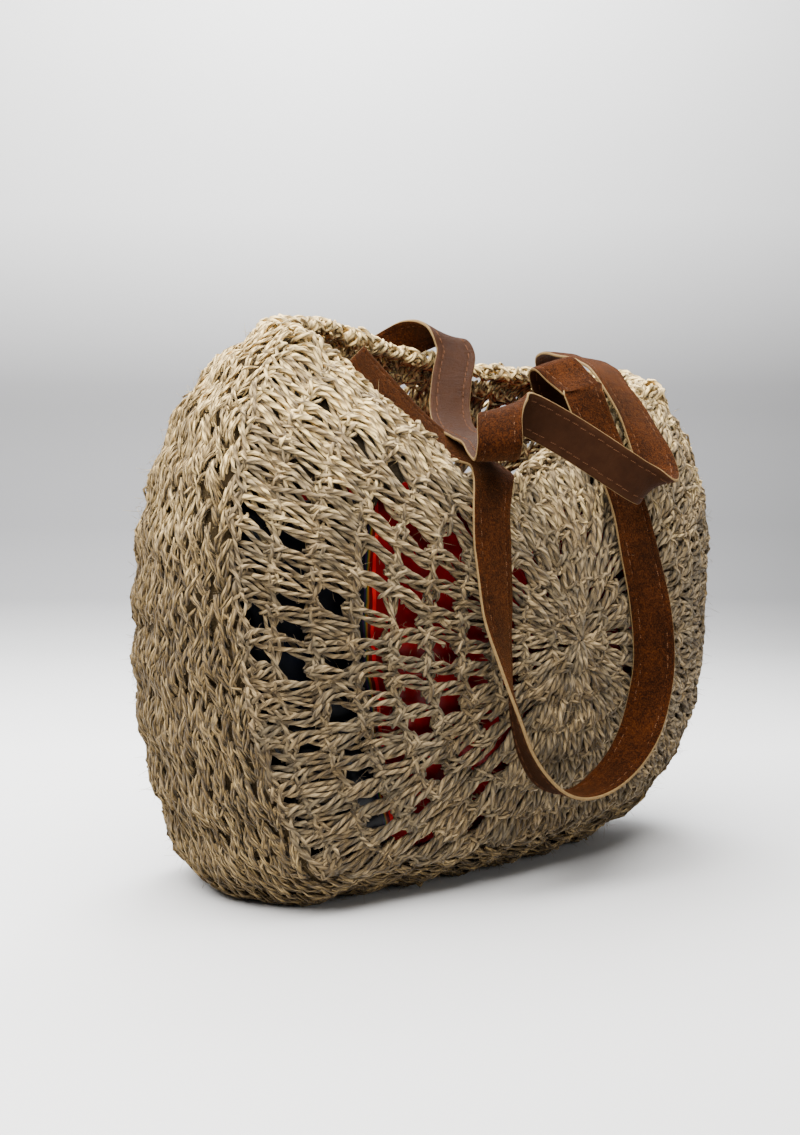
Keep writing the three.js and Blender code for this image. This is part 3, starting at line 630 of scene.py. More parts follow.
def felt(name, dark, light):
    """Matted fibres of the deeper yarn, coloured dark as painted shade for the shade deep between
    the stitches.
    """
    finish = Finish(name)
    fuzz = finish.noise(finish.place("Object"), 900.0, 3.0, 0.7)
    cloud = finish.noise(finish.place("Object"), 160.0, 2.0, 0.6)
    return finish.surface(
        Base_Color=finish.tint((fuzz * 0.8 + cloud * 0.6 - 0.2).clamped(), dark, light),
        Roughness=0.95, Normal=finish.bumps(fuzz + cloud, 0.001, 1.0), Specular_IOR_Level=0.15,
    )


# painted shade: the ground sheet under the dense net is near black, for the deep shade between
# overlapping stitches
felted_hemp_painted_shade = felt("felted_hemp_painted_shade", (0.006, 0.004, 0.002), (0.034, 0.023, 0.011))


def panel_ground(side, seed, holes):
    """The deeper yarn of the dense parts, with the small holes between stitches."""
    rng = np.random.default_rng(seed)
    bearings = np.linspace(0, 360, 121)[:-1]
    steps = np.linspace(0.02, 0.985, 28)
    bearing, share = np.meshgrid(bearings, steps, indexing="ij")
    outer, normal = panel_place(side, share, bearing, np.full(share.shape, -GROUND_DEPTH))
    inner = outer - normal * GROUND_THICKNESS
    tight = closeness(side, bearing[:, :-1] + 1.5, share[:, :-1] + 0.02)
    wear = rng.uniform(0, 1, tight.shape)
    kept = (wear > holes) & (tight > 0.93)
    if side == "back":
        kept &= outer[:, :-1, 2] < MIDDLE_HEIGHT + GROUND_TOP
    return holed_sheet(f"{side}_panel_ground", outer, inner, kept, felted_hemp_painted_shade)


for side, seed, strands, loose_fibres, holes in (
    ("front", 11, 5, 2200, 0.12), ("back", 23, 4, 700, 0.0)
):
    tall, chains = crochet_panel(side, seed, strands, loose_fibres)
    pieces = (
        tall.piece(f"{side}_panel_crochet", hemp_yarn_painted_shade),
        chains.piece(f"{side}_panel_chains", hemp_yarn_painted_shade), panel_ground(side, seed, holes),
    )
    for piece in pieces:
        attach(piece, "root")
        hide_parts(f"{side}_panel")

# Side gusset. A dense band of short leaning stitches in the same yarn, worked in
# rows across the band, that runs up one end, under the bag and up the other.
GUSSET_BULGE = 20.0
GUSSET_ROWS = 25
GUSSET_YARN_RADIUS = 0.80
LAYERS_IN_ROW = 4
STITCH_SPACING = 4.9
RIDGE_SPACING = 5.0
GUSSET_HAIRS = 2400
GUSSET_FLOOR = 1.0
BACKING_DEPTH = 3.4
BACKING_THICKNESS = 1.6
BACKING_CELLS = (116, 16)


def outward(side, bearing):
    """The way out of the bag, square to a panel's edge."""
    low = np.clip(bearing - 4, MOUTH_LEFT, MOUTH_RIGHT + 360)
    high = np.clip(bearing + 4, MOUTH_LEFT, MOUTH_RIGHT + 360)
    along = panel_surface(side, np.ones_like(high), high)
    along = along - panel_surface(side, np.ones_like(low), low)
    return unit(np.stack([along[..., 2], along[..., 0] * 0, -along[..., 0]], axis=-1))


def gusset_surface(bearing, across, floor=0.0, bulge=GUSSET_BULGE, inset=0.0, drop=0.0):
    """Points of the band, from -1 at the front panel's edge to 1 at the back one's."""
    bearing, across = np.broadcast_arrays(bearing, across)
    front = panel_surface("front", np.ones_like(bearing), bearing, inset, drop)
    back = panel_surface("back", np.ones_like(bearing), bearing, inset, drop)
    out = unit(outward("front", bearing) + outward("back", bearing))
    width = np.linalg.norm(front - back, axis=-1)
    swell = np.minimum(bulge, 0.17 * width) + np.maximum(0, -out[..., 2]) * 0.5 * bulge
    point = front + (back - front) * ((across + 1) / 2)[..., None]
    point = point + out * (swell * (1 - across**2))[..., None]
    point[..., 2] = np.maximum(point[..., 2], floor)
    return point


def gusset_normal(bearing, across, floor=0.0, bulge=GUSSET_BULGE, inset=0.0, drop=0.0):
    bearing, across = np.broadcast_arrays(bearing, across)
    low = np.clip(bearing - 3, MOUTH_LEFT, MOUTH_RIGHT + 360)
    high = np.clip(bearing + 3, MOUTH_LEFT, MOUTH_RIGHT + 360)
    left, right = np.clip(across - 0.1, -1, 1), np.clip(across + 0.1, -1, 1)
    along = gusset_surface(high, across, floor, bulge, inset, drop)
    along = along - gusset_surface(low, across, floor, bulge, inset, drop)
    over = gusset_surface(bearing, right, floor, bulge, inset, drop)
    over = over - gusset_surface(bearing, left, floor, bulge, inset, drop)
    normal = unit(np.cross(along, over))
    wrong = np.sum(normal * outward("front", bearing), axis=-1) < 0
    return np.where(wrong[..., None], -normal, normal)


def spaced_bearings(start, end, count):
    """Bearings that part the panels' edges into even lengths."""
    fine = np.linspace(start, end, 801)
    length = np.zeros(len(fine))
    for side in COLUMNS:
        edge = panel_surface(side, np.ones_like(fine), fine)
        length[1:] += np.linalg.norm(np.diff(edge, axis=0), axis=1).cumsum()
    return np.interp(np.linspace(0, length[-1], count + 1), length, fine)


gusset_rows = spaced_bearings(MOUTH_LEFT, MOUTH_RIGHT + 360, GUSSET_ROWS)


def gusset_width(bearing):
    front, back = (panel_surface(side, 1.0, bearing) for side in COLUMNS)
    return np.linalg.norm(front - back)


def gusset_place(row, across, lift):
    bearing = np.interp(np.clip(row, 0, GUSSET_ROWS), np.arange(GUSSET_ROWS + 1), gusset_rows)
    across = np.clip(across, -1.02, 1.02)
    normal = gusset_normal(bearing, across)
    ground = gusset_surface(bearing, across) + lift[..., None] * normal
    ground[..., 2] = np.maximum(ground[..., 2], GUSSET_FLOOR)
    return ground, normal


rng = np.random.default_rng(37)
stitch_yarn, ridge_yarn = Yarn(), Yarn()
for layer in np.arange(0, GUSSET_ROWS, 1 / LAYERS_IN_ROW):
    width = gusset_width(np.interp(layer, np.arange(GUSSET_ROWS + 1), gusset_rows))
    count = int(np.clip(round(width / STITCH_SPACING), 10, 38))
    foot = 2 * (np.arange(count) + 0.5) / count - 1 + rng.normal(0, 0.4 / count, count)
    lean = np.where(np.arange(count) % 2 == 0, 0.8, -0.8) + rng.normal(0, 0.55, count)
    length = 1.9 / LAYERS_IN_ROW * rng.uniform(0.8, 1.3, count)
    start = layer + rng.normal(0, 0.35 / LAYERS_IN_ROW, count)

    def gusset_stitch(t):
        at = start[:, None] + length[:, None] * (t[None, :] - 0.2)
        across = foot[:, None] + lean[:, None] * 2 / count * (t[None, :] - 0.5)
        ridge = 0.5 + 0.5 * np.cos(2 * math.pi * (at + 0.12 * np.sin(7 * foot)[:, None]))
        lift = -2.6 + 3.4 * ridge + 1.2 * np.sin(math.pi * t[None, :])
        return gusset_place(at, across, lift)

    lines, ups = bundle(
        gusset_stitch, 4, 3, np.full(count, width / count * 0.48), 0.9, 1, rng, 0.5
    )
    thick = GUSSET_YARN_RADIUS * rng.uniform(0.75, 1.3, len(lines))
    stitch_yarn.lay(lines, ups, thick, rng.uniform(0.0, 1.0, len(lines)))
for row in range(GUSSET_ROWS):
    width = gusset_width(gusset_rows[row : row + 2].mean())
    count = int(np.clip(round(width / RIDGE_SPACING), 10, 30))
    foot = 2 * (np.arange(count) + 0.5) / count - 1 + rng.normal(0, 0.3 / count, count)
    start = rng.normal(0, 0.10, count)
    for swing in (-1, 1):
        def ridge(t):
            at = row + 1 + swing * 0.09 * np.cos(math.pi * t)[None, :] + start[:, None]
            across = foot[:, None] + 2 / count * (1.3 * t[None, :] - 0.4)
            lift = 0.2 + 1.2 * np.sin(math.pi * t[None, :])
            return gusset_place(at, across, np.broadcast_to(lift, at.shape))

        lines, ups = bundle(ridge, 5, 1, np.full(count, 0.8), 0.5, 0, rng, 0.8)
        some = rng.uniform(0, 1, len(lines)) < 0.25
        thick = 0.85 * rng.uniform(0.8, 1.15, some.sum())
        ridge_yarn.lay(lines[some], ups[some], thick, rng.uniform(0.2, 1.0, some.sum()))
roots, normals = gusset_place(
    rng.uniform(0, GUSSET_ROWS, GUSSET_HAIRS), rng.uniform(-1, 1, GUSSET_HAIRS),
    rng.uniform(-0.5, 2.5, GUSSET_HAIRS),
)
hairs(ridge_yarn, roots, normals, rng)
gusset_yarn = hemp(
    "gusset_yarn", (0.92, 0.66, 0.285), (0.38, 0.26, 0.110), (0.165, 0.107, 0.041),
    (0.040, 0.024, 0.0085), 0.1,
)
# painted shade: the gusset's backing sheet is a dark tan brown, the colour of the shade between
# its strands
gusset_felt_painted_shade = felt("gusset_felt_painted_shade", (0.022, 0.014, 0.006), (0.095, 0.062, 0.026))


def sheet_piece(name, outer, inner, uv_step, material):
    """A thin closed sheet from two grids of points, joined round their edges."""
    rows, columns = outer.shape[:2]
    points = np.concatenate([outer.reshape(-1, 3), inner.reshape(-1, 3)])
    faces, uvs = [], []

    def face(corners):
        faces.append([layer * rows * columns + i * columns + j for layer, i, j in corners])
        uvs.extend((i * uv_step, j * uv_step) for layer, i, j in corners)

    def wall(here, there, flip):
        corners = [(0, *here), (0, *there), (1, *there), (1, *here)]
        face(corners[::-1] if flip else corners)

    for i in range(rows - 1):
        for j in range(columns - 1):
            square = [(i, j), (i, j + 1), (i + 1, j + 1), (i + 1, j)]
            face([(0, *corner) for corner in square])
            face([(1, *corner) for corner in square[::-1]])
        wall((i, 0), (i + 1, 0), False)
        wall((i, columns - 1), (i + 1, columns - 1), True)
    for j in range(columns - 1):
        wall((0, j), (0, j + 1), False)
    for j in range(columns - 1):
        wall((rows - 1, j), (rows - 1, j + 1), True)
    return mesh_piece(name, points, faces, uvs, np.full(len(points), 0.3), material)


at_row, at_across = np.meshgrid(
    np.linspace(0, GUSSET_ROWS, BACKING_CELLS[0] + 1), np.linspace(-1, 1, BACKING_CELLS[1] + 1),
    indexing="ij",
)
ground, normal = gusset_place(at_row, at_across, np.full(at_row.shape, -BACKING_DEPTH))
inside = ground - normal * BACKING_THICKNESS
inside[..., 2] = np.maximum(inside[..., 2], GUSSET_FLOOR + BACKING_THICKNESS)
for piece in (
    stitch_yarn.piece("side_gusset_stitches", gusset_yarn),
    ridge_yarn.piece("side_gusset_rows", gusset_yarn),
    sheet_piece("side_gusset_ground", ground, inside, 0.05, gusset_felt_painted_shade),
):
    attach(piece, "root")
    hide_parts("side_gusset")

# Mouth edging. A plump crocheted chain of the same yarn that closes the rim of
# both panels and the two ends of the gusset.
YARN_DEPTH = 7.0
EDGING_RADIUS = 5.0
EDGING_PITCH = 11.0
EDGING_STRANDS = 5
STRAND_SWING = 3.7


def rim_line():
    """Middle line of the rim, all the way round, and the way up and out from it."""
    fine = spaced_bearings(MOUTH_RIGHT, MOUTH_LEFT, 60)
    places, ups = [], []

    def side_run(side, order):
        place = panel_surface(side, np.ones_like(order), order)
        below = panel_surface(side, np.full_like(order, 0.98), order)
        turn = unit(np.gradient(place, axis=0))
        up = place - below
        up = unit(up - turn * np.sum(up * turn, axis=1, keepdims=True))
        places.append(place)
        ups.append(up)

    def end_run(bearing, step, across):
        place = gusset_surface(np.full_like(across, bearing), across)
        below = gusset_surface(np.full_like(across, bearing + step), across)
        normal = gusset_normal(np.full_like(across, bearing), across)
        places.append(place - normal * YARN_DEPTH / 2)
        ups.append(unit(place - below))

    side_run("front", fine)
    end_run(MOUTH_LEFT, 2, np.linspace(-0.7, 0.7, 6))
    side_run("back", fine[::-1])
    end_run(MOUTH_RIGHT + 360, -2, np.linspace(0.7, -0.7, 8))
    line, up = np.concatenate(places), np.concatenate(ups)
    line = np.concatenate([line, line[:1]])
    up = np.concatenate([up, up[:1]])
    run = np.concatenate([[0], np.linalg.norm(np.diff(line, axis=0), axis=1).cumsum()])
    return run, line, up


def read_at(run, runs, rows):
    """The rows of a line, read at distances along it."""
    return np.stack([np.interp(run, runs, rows[:, k]) for k in range(3)], -1)


rim_run, rim_points, rim_ups = rim_line()
smooth_run = np.linspace(0, rim_run[-1], 400)
smooth_rim = read_at(smooth_run, rim_run, rim_points)
smooth_up = read_at(smooth_run, rim_run, rim_ups)
for repeat in range(6):
    for line in (smooth_rim, smooth_up):
        line[:-1] = (np.roll(line[:-1], 1, 0) + line[:-1] * 2 + np.roll(line[:-1], -1, 0)) / 4
        line[-1] = line[0]


def rim_at(run):
    run = np.mod(run, rim_run[-1])
    place = read_at(run, smooth_run, smooth_rim)
    ahead_of_it = read_at(np.mod(run + 2, rim_run[-1]), smooth_run, smooth_rim)
    up = unit(read_at(run, smooth_run, smooth_up))
    return place, up, unit(np.cross(ahead_of_it - place, up))


rng = np.random.default_rng(53)
edging_yarn = Yarn()
links = int(rim_run[-1] / (EDGING_PITCH / 2))
for strand in range(EDGING_STRANDS):
    begin = np.arange(links) * rim_run[-1] / links + rng.normal(0, 0.5, links)
    phase = strand * 2 * math.pi / EDGING_STRANDS
    t = np.linspace(0, 1, 8)
    run = begin[:, None] + EDGING_PITCH * rng.uniform(0.8, 1.9, (links, 1)) * t[None, :]
    place, up, side = rim_at(run)
    turn = rng.choice([-0.55, 0.62], (links, 1)) * rng.uniform(0.7, 1.2, (links, 1))
    swing = 2 * math.pi * t[None, :] * turn + phase + rng.normal(0, 0.5, (links, 1))
    size = STRAND_SWING * rng.uniform(0.65, 1.3, (links, 1))
    size = size * (1 + 0.25 * np.sin(begin / 11))[:, None]
    lines = place + up * (EDGING_RADIUS * 0.75 + size * np.sin(swing))[..., None]
    lines = lines + side * (size * 1.15 * np.cos(swing))[..., None]
    lines = lines + rng.normal(0, 0.5, (links, 1, 3))
    thick = YARN_RADIUS * rng.uniform(0.85, 1.15, links)
    edging_yarn.lay(lines, up, thick, rng.uniform(0.2, 1.0, links))
edging = edging_yarn.piece("mouth_edging_chain", hemp_yarn_painted_shade)
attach(edging, "root")
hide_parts("mouth_edging")

# Lining. A loose bag of glossy coated cloth inside the net: deep red, with a
# dark blue field and a narrow rainbow border at the peaked end. A thin bright red line along the
# border is a painted highlight.
LINING_DROP = 22.0
LINING_TOP = 222.0
LINING_BULGE = 18.0
LINING_INSET = 10.0
LINING_HALF = 0.25
LINING_FLOOR = 8.0
BAND_CELLS = 22
LINING_RED = (0.22, 0.003, 0.005)
LINING_NAVY = (0.002, 0.003, 0.007)


def lining_drop(side, bearing):
    """How far the cloth ends short of the panel's edge, for its open and level top."""
    reach = reach_at(side, bearing) - INSET_AT_REACH * LINING_INSET
    at = np.mod(bearing, 360)
    rise = np.sin(np.radians(at))
    inside = np.maximum(0, (at - MOUTH_RIGHT) * (MOUTH_LEFT - at))
    share = inside / (MOUTH_LEFT - MOUTH_RIGHT) ** 2
    drop = LINING_DROP * np.minimum(1, 14 * share)
    level = np.where(rise > 0.05, reach - (LINING_TOP - MIDDLE_HEIGHT) / np.maximum(rise, 0.05), 0)
    return np.maximum(0, np.maximum(drop, level))


lining_bearings = np.concatenate([
    spaced_bearings(MOUTH_RIGHT, MOUTH_LEFT, 36)[:-1],
    spaced_bearings(MOUTH_LEFT, MOUTH_RIGHT + 360, 140)[:-1],
])
shares = np.concatenate([[0.004], np.linspace(0.05, 1, 26)])
bearing, share = np.meshgrid(lining_bearings, shares, indexing="ij")
walls = {}
for side in COLUMNS:
    drop = lining_drop(side, bearing)
    point = panel_surface(side, share, bearing, LINING_INSET, drop)
    normal = panel_normal(side, share, bearing, LINING_INSET, drop)
    turn = np.radians(bearing)
    crease = np.sin(turn * 9 + 3 * share) * np.sin(5 * share + turn * 2)
    crease = crease + 0.6 * np.sin(point[..., 0] * 0.11 + 2 * np.sin(point[..., 2] * 0.03))
    point = point - normal * (1.5 + 1.3 * crease * (1 - share**6))[..., None]
    walls[side] = (point + normal * LINING_HALF, point - normal * LINING_HALF)
points, faces = [], []
spokes, rings = bearing.shape


def wall_faces(start, flip):
    for i in range(spokes):
        n = (i + 1) % spokes
        for r in range(rings - 1):
            quad = [start + i * rings + r, start + i * rings + r + 1,
                    start + n * rings + r + 1, start + n * rings + r]
            faces.append(quad[::-1] if flip else quad)


def band_row(base, i):
    """The points across the band at one bearing, from the front wall to the back one."""
    front = base + i * rings + rings - 1
    between = base + 2 * spokes * rings + i * (BAND_CELLS - 1)
    return [front, *range(between, between + BAND_CELLS - 1), front + spokes * rings]


drops = [lining_drop(side, lining_bearings) for side in COLUMNS]
joined = np.minimum(*drops) <= 0
bearing, across = np.meshgrid(
    np.where(lining_bearings < MOUTH_LEFT, lining_bearings + 360, lining_bearings),
    np.linspace(-1, 1, BAND_CELLS + 1)[1:-1], indexing="ij",
)
band_drop = np.broadcast_to(np.maximum(*drops)[:, None], bearing.shape)
band_form = (bearing, across, LINING_FLOOR, LINING_BULGE, LINING_INSET, band_drop)
band_normal = gusset_normal(*band_form)
band = gusset_surface(*band_form) - band_normal * 1.2
for layer in (0, 1):
    sign = 1 - 2 * layer
    points.append(walls["front"][layer].reshape(-1, 3))
    points.append(walls["back"][layer].reshape(-1, 3))
    points.append((band + band_normal * LINING_HALF * sign).reshape(-1, 3))
    size = sum(len(p) for p in points[:3])
    base = layer * size
    wall_faces(base, layer == 1)
    wall_faces(base + spokes * rings, layer == 0)
    for i in range(spokes):
        n = (i + 1) % spokes
        if not (joined[i] and joined[n]):
            continue
        a, b = band_row(base, i), band_row(base, n)
        for k in range(BAND_CELLS):
            quad = [a[k], a[k + 1], b[k + 1], b[k]]
            faces.append(quad[::-1] if layer == 1 else quad)

# the middles of both walls, and the cut edge between the two layers
all_points = np.concatenate(points)
half_count = len(all_points) // 2
for layer in (0, 1):
    for start, flip in ((0, False), (spokes * rings, True)):
        ring = [layer * half_count + start + i * rings for i in range(spokes)]
        faces.append(ring if (flip == (layer == 1)) else ring[::-1])
edges = {}
for face in faces:
    if face[0] < half_count:
        edges.update(dict.fromkeys(zip(face, face[1:] + face[:1])))
for a, b in edges:
    if (b, a) not in edges:
        faces.append([b, a, a + half_count, b + half_count])
used = sorted({corner for face in faces for corner in face})
place_of = {corner: i for i, corner in enumerate(used)}
lining_mesh = bpy.data.meshes.new("lining_cloth")
lining_mesh.from_pydata(
    (all_points[used] * MM).tolist(), [], [[place_of[c] for c in face] for face in faces]
)
lining_mesh.update()
lining_mesh.polygons.foreach_set("use_smooth", np.ones(len(lining_mesh.polygons), dtype=bool))
lining = bpy.data.objects.new("lining_cloth", lining_mesh)
bpy.context.collection.objects.link(lining)
cloth = Finish("coated_cloth")
x, _, z = cloth.parts(cloth.place("Object"))
weave = cloth.noise(cloth.place("Object"), 60.0, 2.0, 0.5)
field = (x * -1 - 0.128 + (z - 0.14) * (z - 0.14) * 1.4 + weave * 0.004) * 100
# the bright red stop at 0.37 is a painted highlight: a glint on a fold of the cloth, painted as a
# thin line along the border
stripes = cloth.node("ShaderNodeValToRGB", {"interpolation": "CONSTANT", "stops": [
    (0.0, LINING_RED), (0.37, (0.62, 0.010, 0.012)), (0.41, (0.10, 0.002, 0.003)),
    (0.445, (0.28, 0.075, 0.008)), (0.455, (0.16, 0.10, 0.010)), (0.465, (0.008, 0.055, 0.02)),
    (0.48, (0.02, 0.006, 0.04)), (0.50, LINING_NAVY),
]}, {0: (field * 0.2 + 0.4).clamped()})
coated = cloth.surface(
    Base_Color=stripes, Roughness=0.3, Specular_IOR_Level=0.15,
    Coat_Weight=0.06, Coat_Roughness=0.08,
    Normal=cloth.bumps(weave, 0.0006, 0.5),
)
lining_mesh.materials.append(coated)
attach(lining, "root")
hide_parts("lining")

# Straps. Two long bands of leather, smooth on the face and raw suede on the
# back, with cream cut edges and two rows of tan saddle stitch. The front one's
# ends lie inside the mouth, and the back one's hang over the back rim.
STRAP_WIDTH = 24.0
STRAP_THICKNESS = 2.4
STRAP_CLEARANCE = 0.9
STRAP_CUP = 0.5
STRAP_STEP = 2.2
STITCH_LINE = 7.7
STITCH_PITCH = 5.6
STITCH_LENGTH = 4.4
THREAD_RADIUS = 0.36

# heights of the face over the flat one, from the middle of the band to its edge
FACE_FORM = (
    (0, 0), (3.5, 0.02), (6.4, 0.02), (STITCH_LINE - 0.6, -0.06), (STITCH_LINE, -0.28),
    (STITCH_LINE + 0.6, -0.08), (9.6, 0.04), (11.1, -0.06), (11.75, -0.32), (12, -0.62),
)
# place as shares of the reach and of the dome, way of the width, lies on the front
STRAP_WAYS = {
    "front": [
        (-.504, -.22, .795, .83, .30, .40, 0), (-.348, -.40, .604, .83, .36, .35, 0),
        (-.261, -.48, .532, .90, .30, .12, 0), (-.218, -.70, .489, 1.00, .00, -.08, 0),
        (-.276, -.90, .452, 1.00, .00, -.06, 1), (-.318, -1.00, .371, 1.00, .00, .00, 1),
        (-.326, -1.04, .254, 1.00, .00, .00, 1), (-.327, -1.08, .116, .97, .20, .00, 1),
        (-.296, -1.12, -.146, .50, .85, .05, 1), (-.248, -1.14, -.281, .20, .97, .10, 1),
        (-.162, -1.14, -.389, .00, 1.00, .00, 1), (-.042, -1.13, -.419, -.10, 1.00, .00, 1),
        (.069, -1.13, -.376, -.20, .97, .10, 1), (.163, -1.13, -.278, -.50, .85, .10, 1),
        (.220, -1.10, -.147, -.78, .62, .05, 1), (.230, -1.09, -.003, -.85, .50, .00, 1),
        (.191, -1.04, .270, -.97, .20, .00, 1), (.174, -.98, .398, -1.00, .10, .00, 1),
        (.140, -.82, .584, -.97, .15, -.15, 1), (.129, -.71, .670, -.93, .25, -.20, 1),
        (.137, -.54, .739, -.90, .30, -.30, 0), (.133, -.42, .778, -.90, .30, -.30, 0),
        (.156, -.31, .764, -.90, .30, -.25, 0), (.254, -.22, .608, -.95, .20, .00, 0),
    ],
    "back": [
        (-.191, .77, .751, .50, -.15, -.80, 0), (-.049, .73, .833, .50, -.35, -.68, 0),
        (-.011, .63, .864, .60, -.40, -.60, 0), (.001, .45, .877, .70, -.45, -.45, 0),
        (-.008, .26, .863, .75, -.50, -.38, 0), (-.014, .15, .819, .78, -.53, -.30, 0),
        (-.074, .02, .734, .80, -.55, -.15, 0), (-.140, -.14, .637, .80, -.55, -.15, 0),
        (-.193, -.35, .584, .80, -.55, -.12, 0), (-.207, -.52, .566, .82, -.55, -.04, 0),
        (-.237, -.70, .555, .85, -.50, .00, 0), (-.298, -.93, .531, .85, -.50, .03, 0),
        (-.329, -1.07, .518, .85, -.50, .05, 0), (-.350, -1.15, .557, .83, -.55, .05, 0),
        (-.316, -1.06, .635, .80, -.55, .10, 0), (-.219, -.91, .652, .70, -.48, .45, 0),
        (-.162, -.90, .638, .60, -.42, .65, 0), (-.058, -.96, .585, .50, -.35, .80, 1),
        (.018, -1.04, .532, .50, -.35, .80, 1), (.087, -1.12, .479, .50, -.35, .80, 1),
        (.149, -1.15, .442, .55, -.30, .75, 1), (.199, -1.14, .429, .70, -.40, .50, 1),
        (.259, -1.06, .460, .82, -.50, .15, 1), (.307, -.80, .600, .95, -.25, -.20, 1),
        (.335, -.46, .743, .98, .00, -.15, 0), (.406, -.16, .785, .98, .00, -.10, 0),
        (.462, .18, .806, .98, .00, -.10, 0), (.521, .48, .819, .98, .00, -.05, 0),
        (.562, .62, .804, 1.00, .00, .00, 0), (.601, .70, .745, 1.00, .00, .00, 0),
        (.631, .74, .672, 1.00, .00, .00, 0),
    ],
}


def smooth_way(rows, t):
    """A centripetal curve through the rows, read at t from 0 to the last row."""
    first, last = 2 * rows[0] - rows[1], 2 * rows[-1] - rows[-2]
    rows = np.concatenate([[first], rows, [last]])
    i = np.clip(t.astype(int), 0, len(rows) - 4)
    f = (t - i)[:, None]
    a, b, c, d = rows[i], rows[i + 1], rows[i + 2], rows[i + 3]
    ab, bc, cd = (
        np.sqrt(np.linalg.norm(q - p, axis=1, keepdims=True)) for p, q in ((a, b), (b, c), (c, d))
    )
    bc = np.where(bc < 1e-4, 1, bc)
    ab, cd = np.where(ab < 1e-4, bc, ab), np.where(cd < 1e-4, bc, cd)
    out = ((b - a) / ab - (c - a) / (ab + bc) + (c - b) / bc) * bc
    into = ((c - b) / bc - (d - b) / (bc + cd) + (d - c) / cd) * bc
    return (
        b + out * f + (3 * (c - b) - 2 * out - into) * f**2 + (2 * (b - c) + out + into) * f**3
    )


def front_depth(x, z):
    """Where the front panel's face lies at a place seen from the front."""
    bearing = np.degrees(np.arctan2(z - MIDDLE_HEIGHT, x))
    share = np.hypot(x, z - MIDDLE_HEIGHT) / reach_at("front", bearing)
    return panel_surface("front", np.minimum(share, 1.06), bearing)[..., 1]


def strap_stations(way):
    """Middle line of a band and its three ways, kept off the front panel."""
    way = np.array(way, dtype=float)
    places = way[:, :3] * (REACH, DOME["front"], REACH) + (0, 0, MIDDLE_HEIGHT)
    fine = np.linspace(0, len(way) - 1, 2000)
    line = smooth_way(places, fine)
    run = np.concatenate([[0], np.linalg.norm(np.diff(line, axis=0), axis=1).cumsum()])
    even_run = np.linspace(0, run[-1], int(run[-1] / STRAP_STEP) + 1)
    t = np.interp(even_run, run, fine)
    place, width = smooth_way(places, t), unit(smooth_way(way[:, 3:6], t))
    clear = YARN_DEPTH / 2 + STRAP_THICKNESS / 2 + STRAP_CLEARANCE
    push = np.zeros(len(t))
    for reach in (-0.5, 0, 0.5):
        spot = place + reach * STRAP_WIDTH * width
        push = np.maximum(push, spot[:, 1] - (front_depth(spot[:, 0], spot[:, 2]) - clear))
    push = push * (way[np.round(t).astype(int), 6] > 0.5)
    for repeat in range(8):
        push = np.maximum(push, np.convolve(np.pad(push, 3, mode="edge"), np.ones(7) / 7, "valid"))
    place[:, 1] -= push
    along = unit(np.gradient(place, axis=0))
    over = unit(width - along * np.sum(width * along, axis=1, keepdims=True))
    return place, over, np.cross(along, over), even_run


def strap_cup(across, suede_out):
    """How far the band is cupped at a place across it, towards its suede side."""
    return -STRAP_CUP * (1 if suede_out else -1) * (across / (STRAP_WIDTH / 2)) ** 2


def strap_sway(run, seed):
    return 0.18 * np.sin(run / 17 + seed)


def strap_band(name, line, suede_out, seed, materials):
    """The band itself, with a stitch groove near each edge."""
    middle, over, normal, run = line
    right = [(across, STRAP_THICKNESS / 2 + height) for across, height in FACE_FORM]
    profile = np.array([(-across, height) for across, height in right[:0:-1]] + right)
    loop = np.concatenate([profile, profile[::-1] * (1, -1)])
    wave = 0.22 * np.sin(run[:, None] / 6.3 + loop[None, :, 0] * 0.2)
    wave = wave * np.abs(loop[:, 0] / (STRAP_WIDTH / 2)) ** 2
    height = loop[None, :, 1] + strap_cup(loop[:, 0], suede_out)[None, :] + wave
    across = loop[None, :, 0] + strap_sway(run, seed)[:, None]
    points = (
        middle[:, None] + across[..., None] * over[:, None] + height[..., None] * normal[:, None]
    )
    rows, columns = points.shape[:2]
    k = np.arange(columns)
    n = (k + 1) % columns
    i = np.arange(rows - 1)[:, None] * columns
    faces = np.stack([i + k, i + n, i + columns + n, i + columns + k], axis=-1)
    faces = faces.reshape(-1, 4).tolist()
    u = np.concatenate([loop[:, 0], loop[:1, 0]]) / MM_IN_CM
    u, v = np.broadcast_arrays(u, run[:, None] / MM_IN_CM)
    uv = np.stack([u, v], -1)
    uvs = np.stack([uv[:-1, :-1], uv[:-1, 1:], uv[1:, 1:], uv[1:, :-1]], axis=-2)
    uvs = uvs.reshape(-1, 2).tolist()
    half = columns // 2
    for end, flip in ((0, True), ((rows - 1) * columns, False)):
        for c in range(half - 1):
            quad = [end + c, end + c + 1, end + columns - 2 - c, end + columns - 1 - c]
            faces.append(quad[::-1] if flip else quad)
            uvs.extend([(0, 0)] * 4)
    band = mesh_piece(
        name, points.reshape(-1, 3), faces, uvs, np.full(rows * columns, 0.5), *materials
    )
    smooth_slot, suede_slot, edge_slot = range(3)
    slots = []
    for c in range(columns):
        if c % half in (0, half - 2, half - 1):
            slots.append(edge_slot)
        else:
            slots.append(suede_slot if (c < half) == suede_out else smooth_slot)
    slots = slots * (rows - 1)
    slots += [edge_slot] * (len(faces) - len(slots))
    band.data.polygons.foreach_set("material_index", slots)
    return band


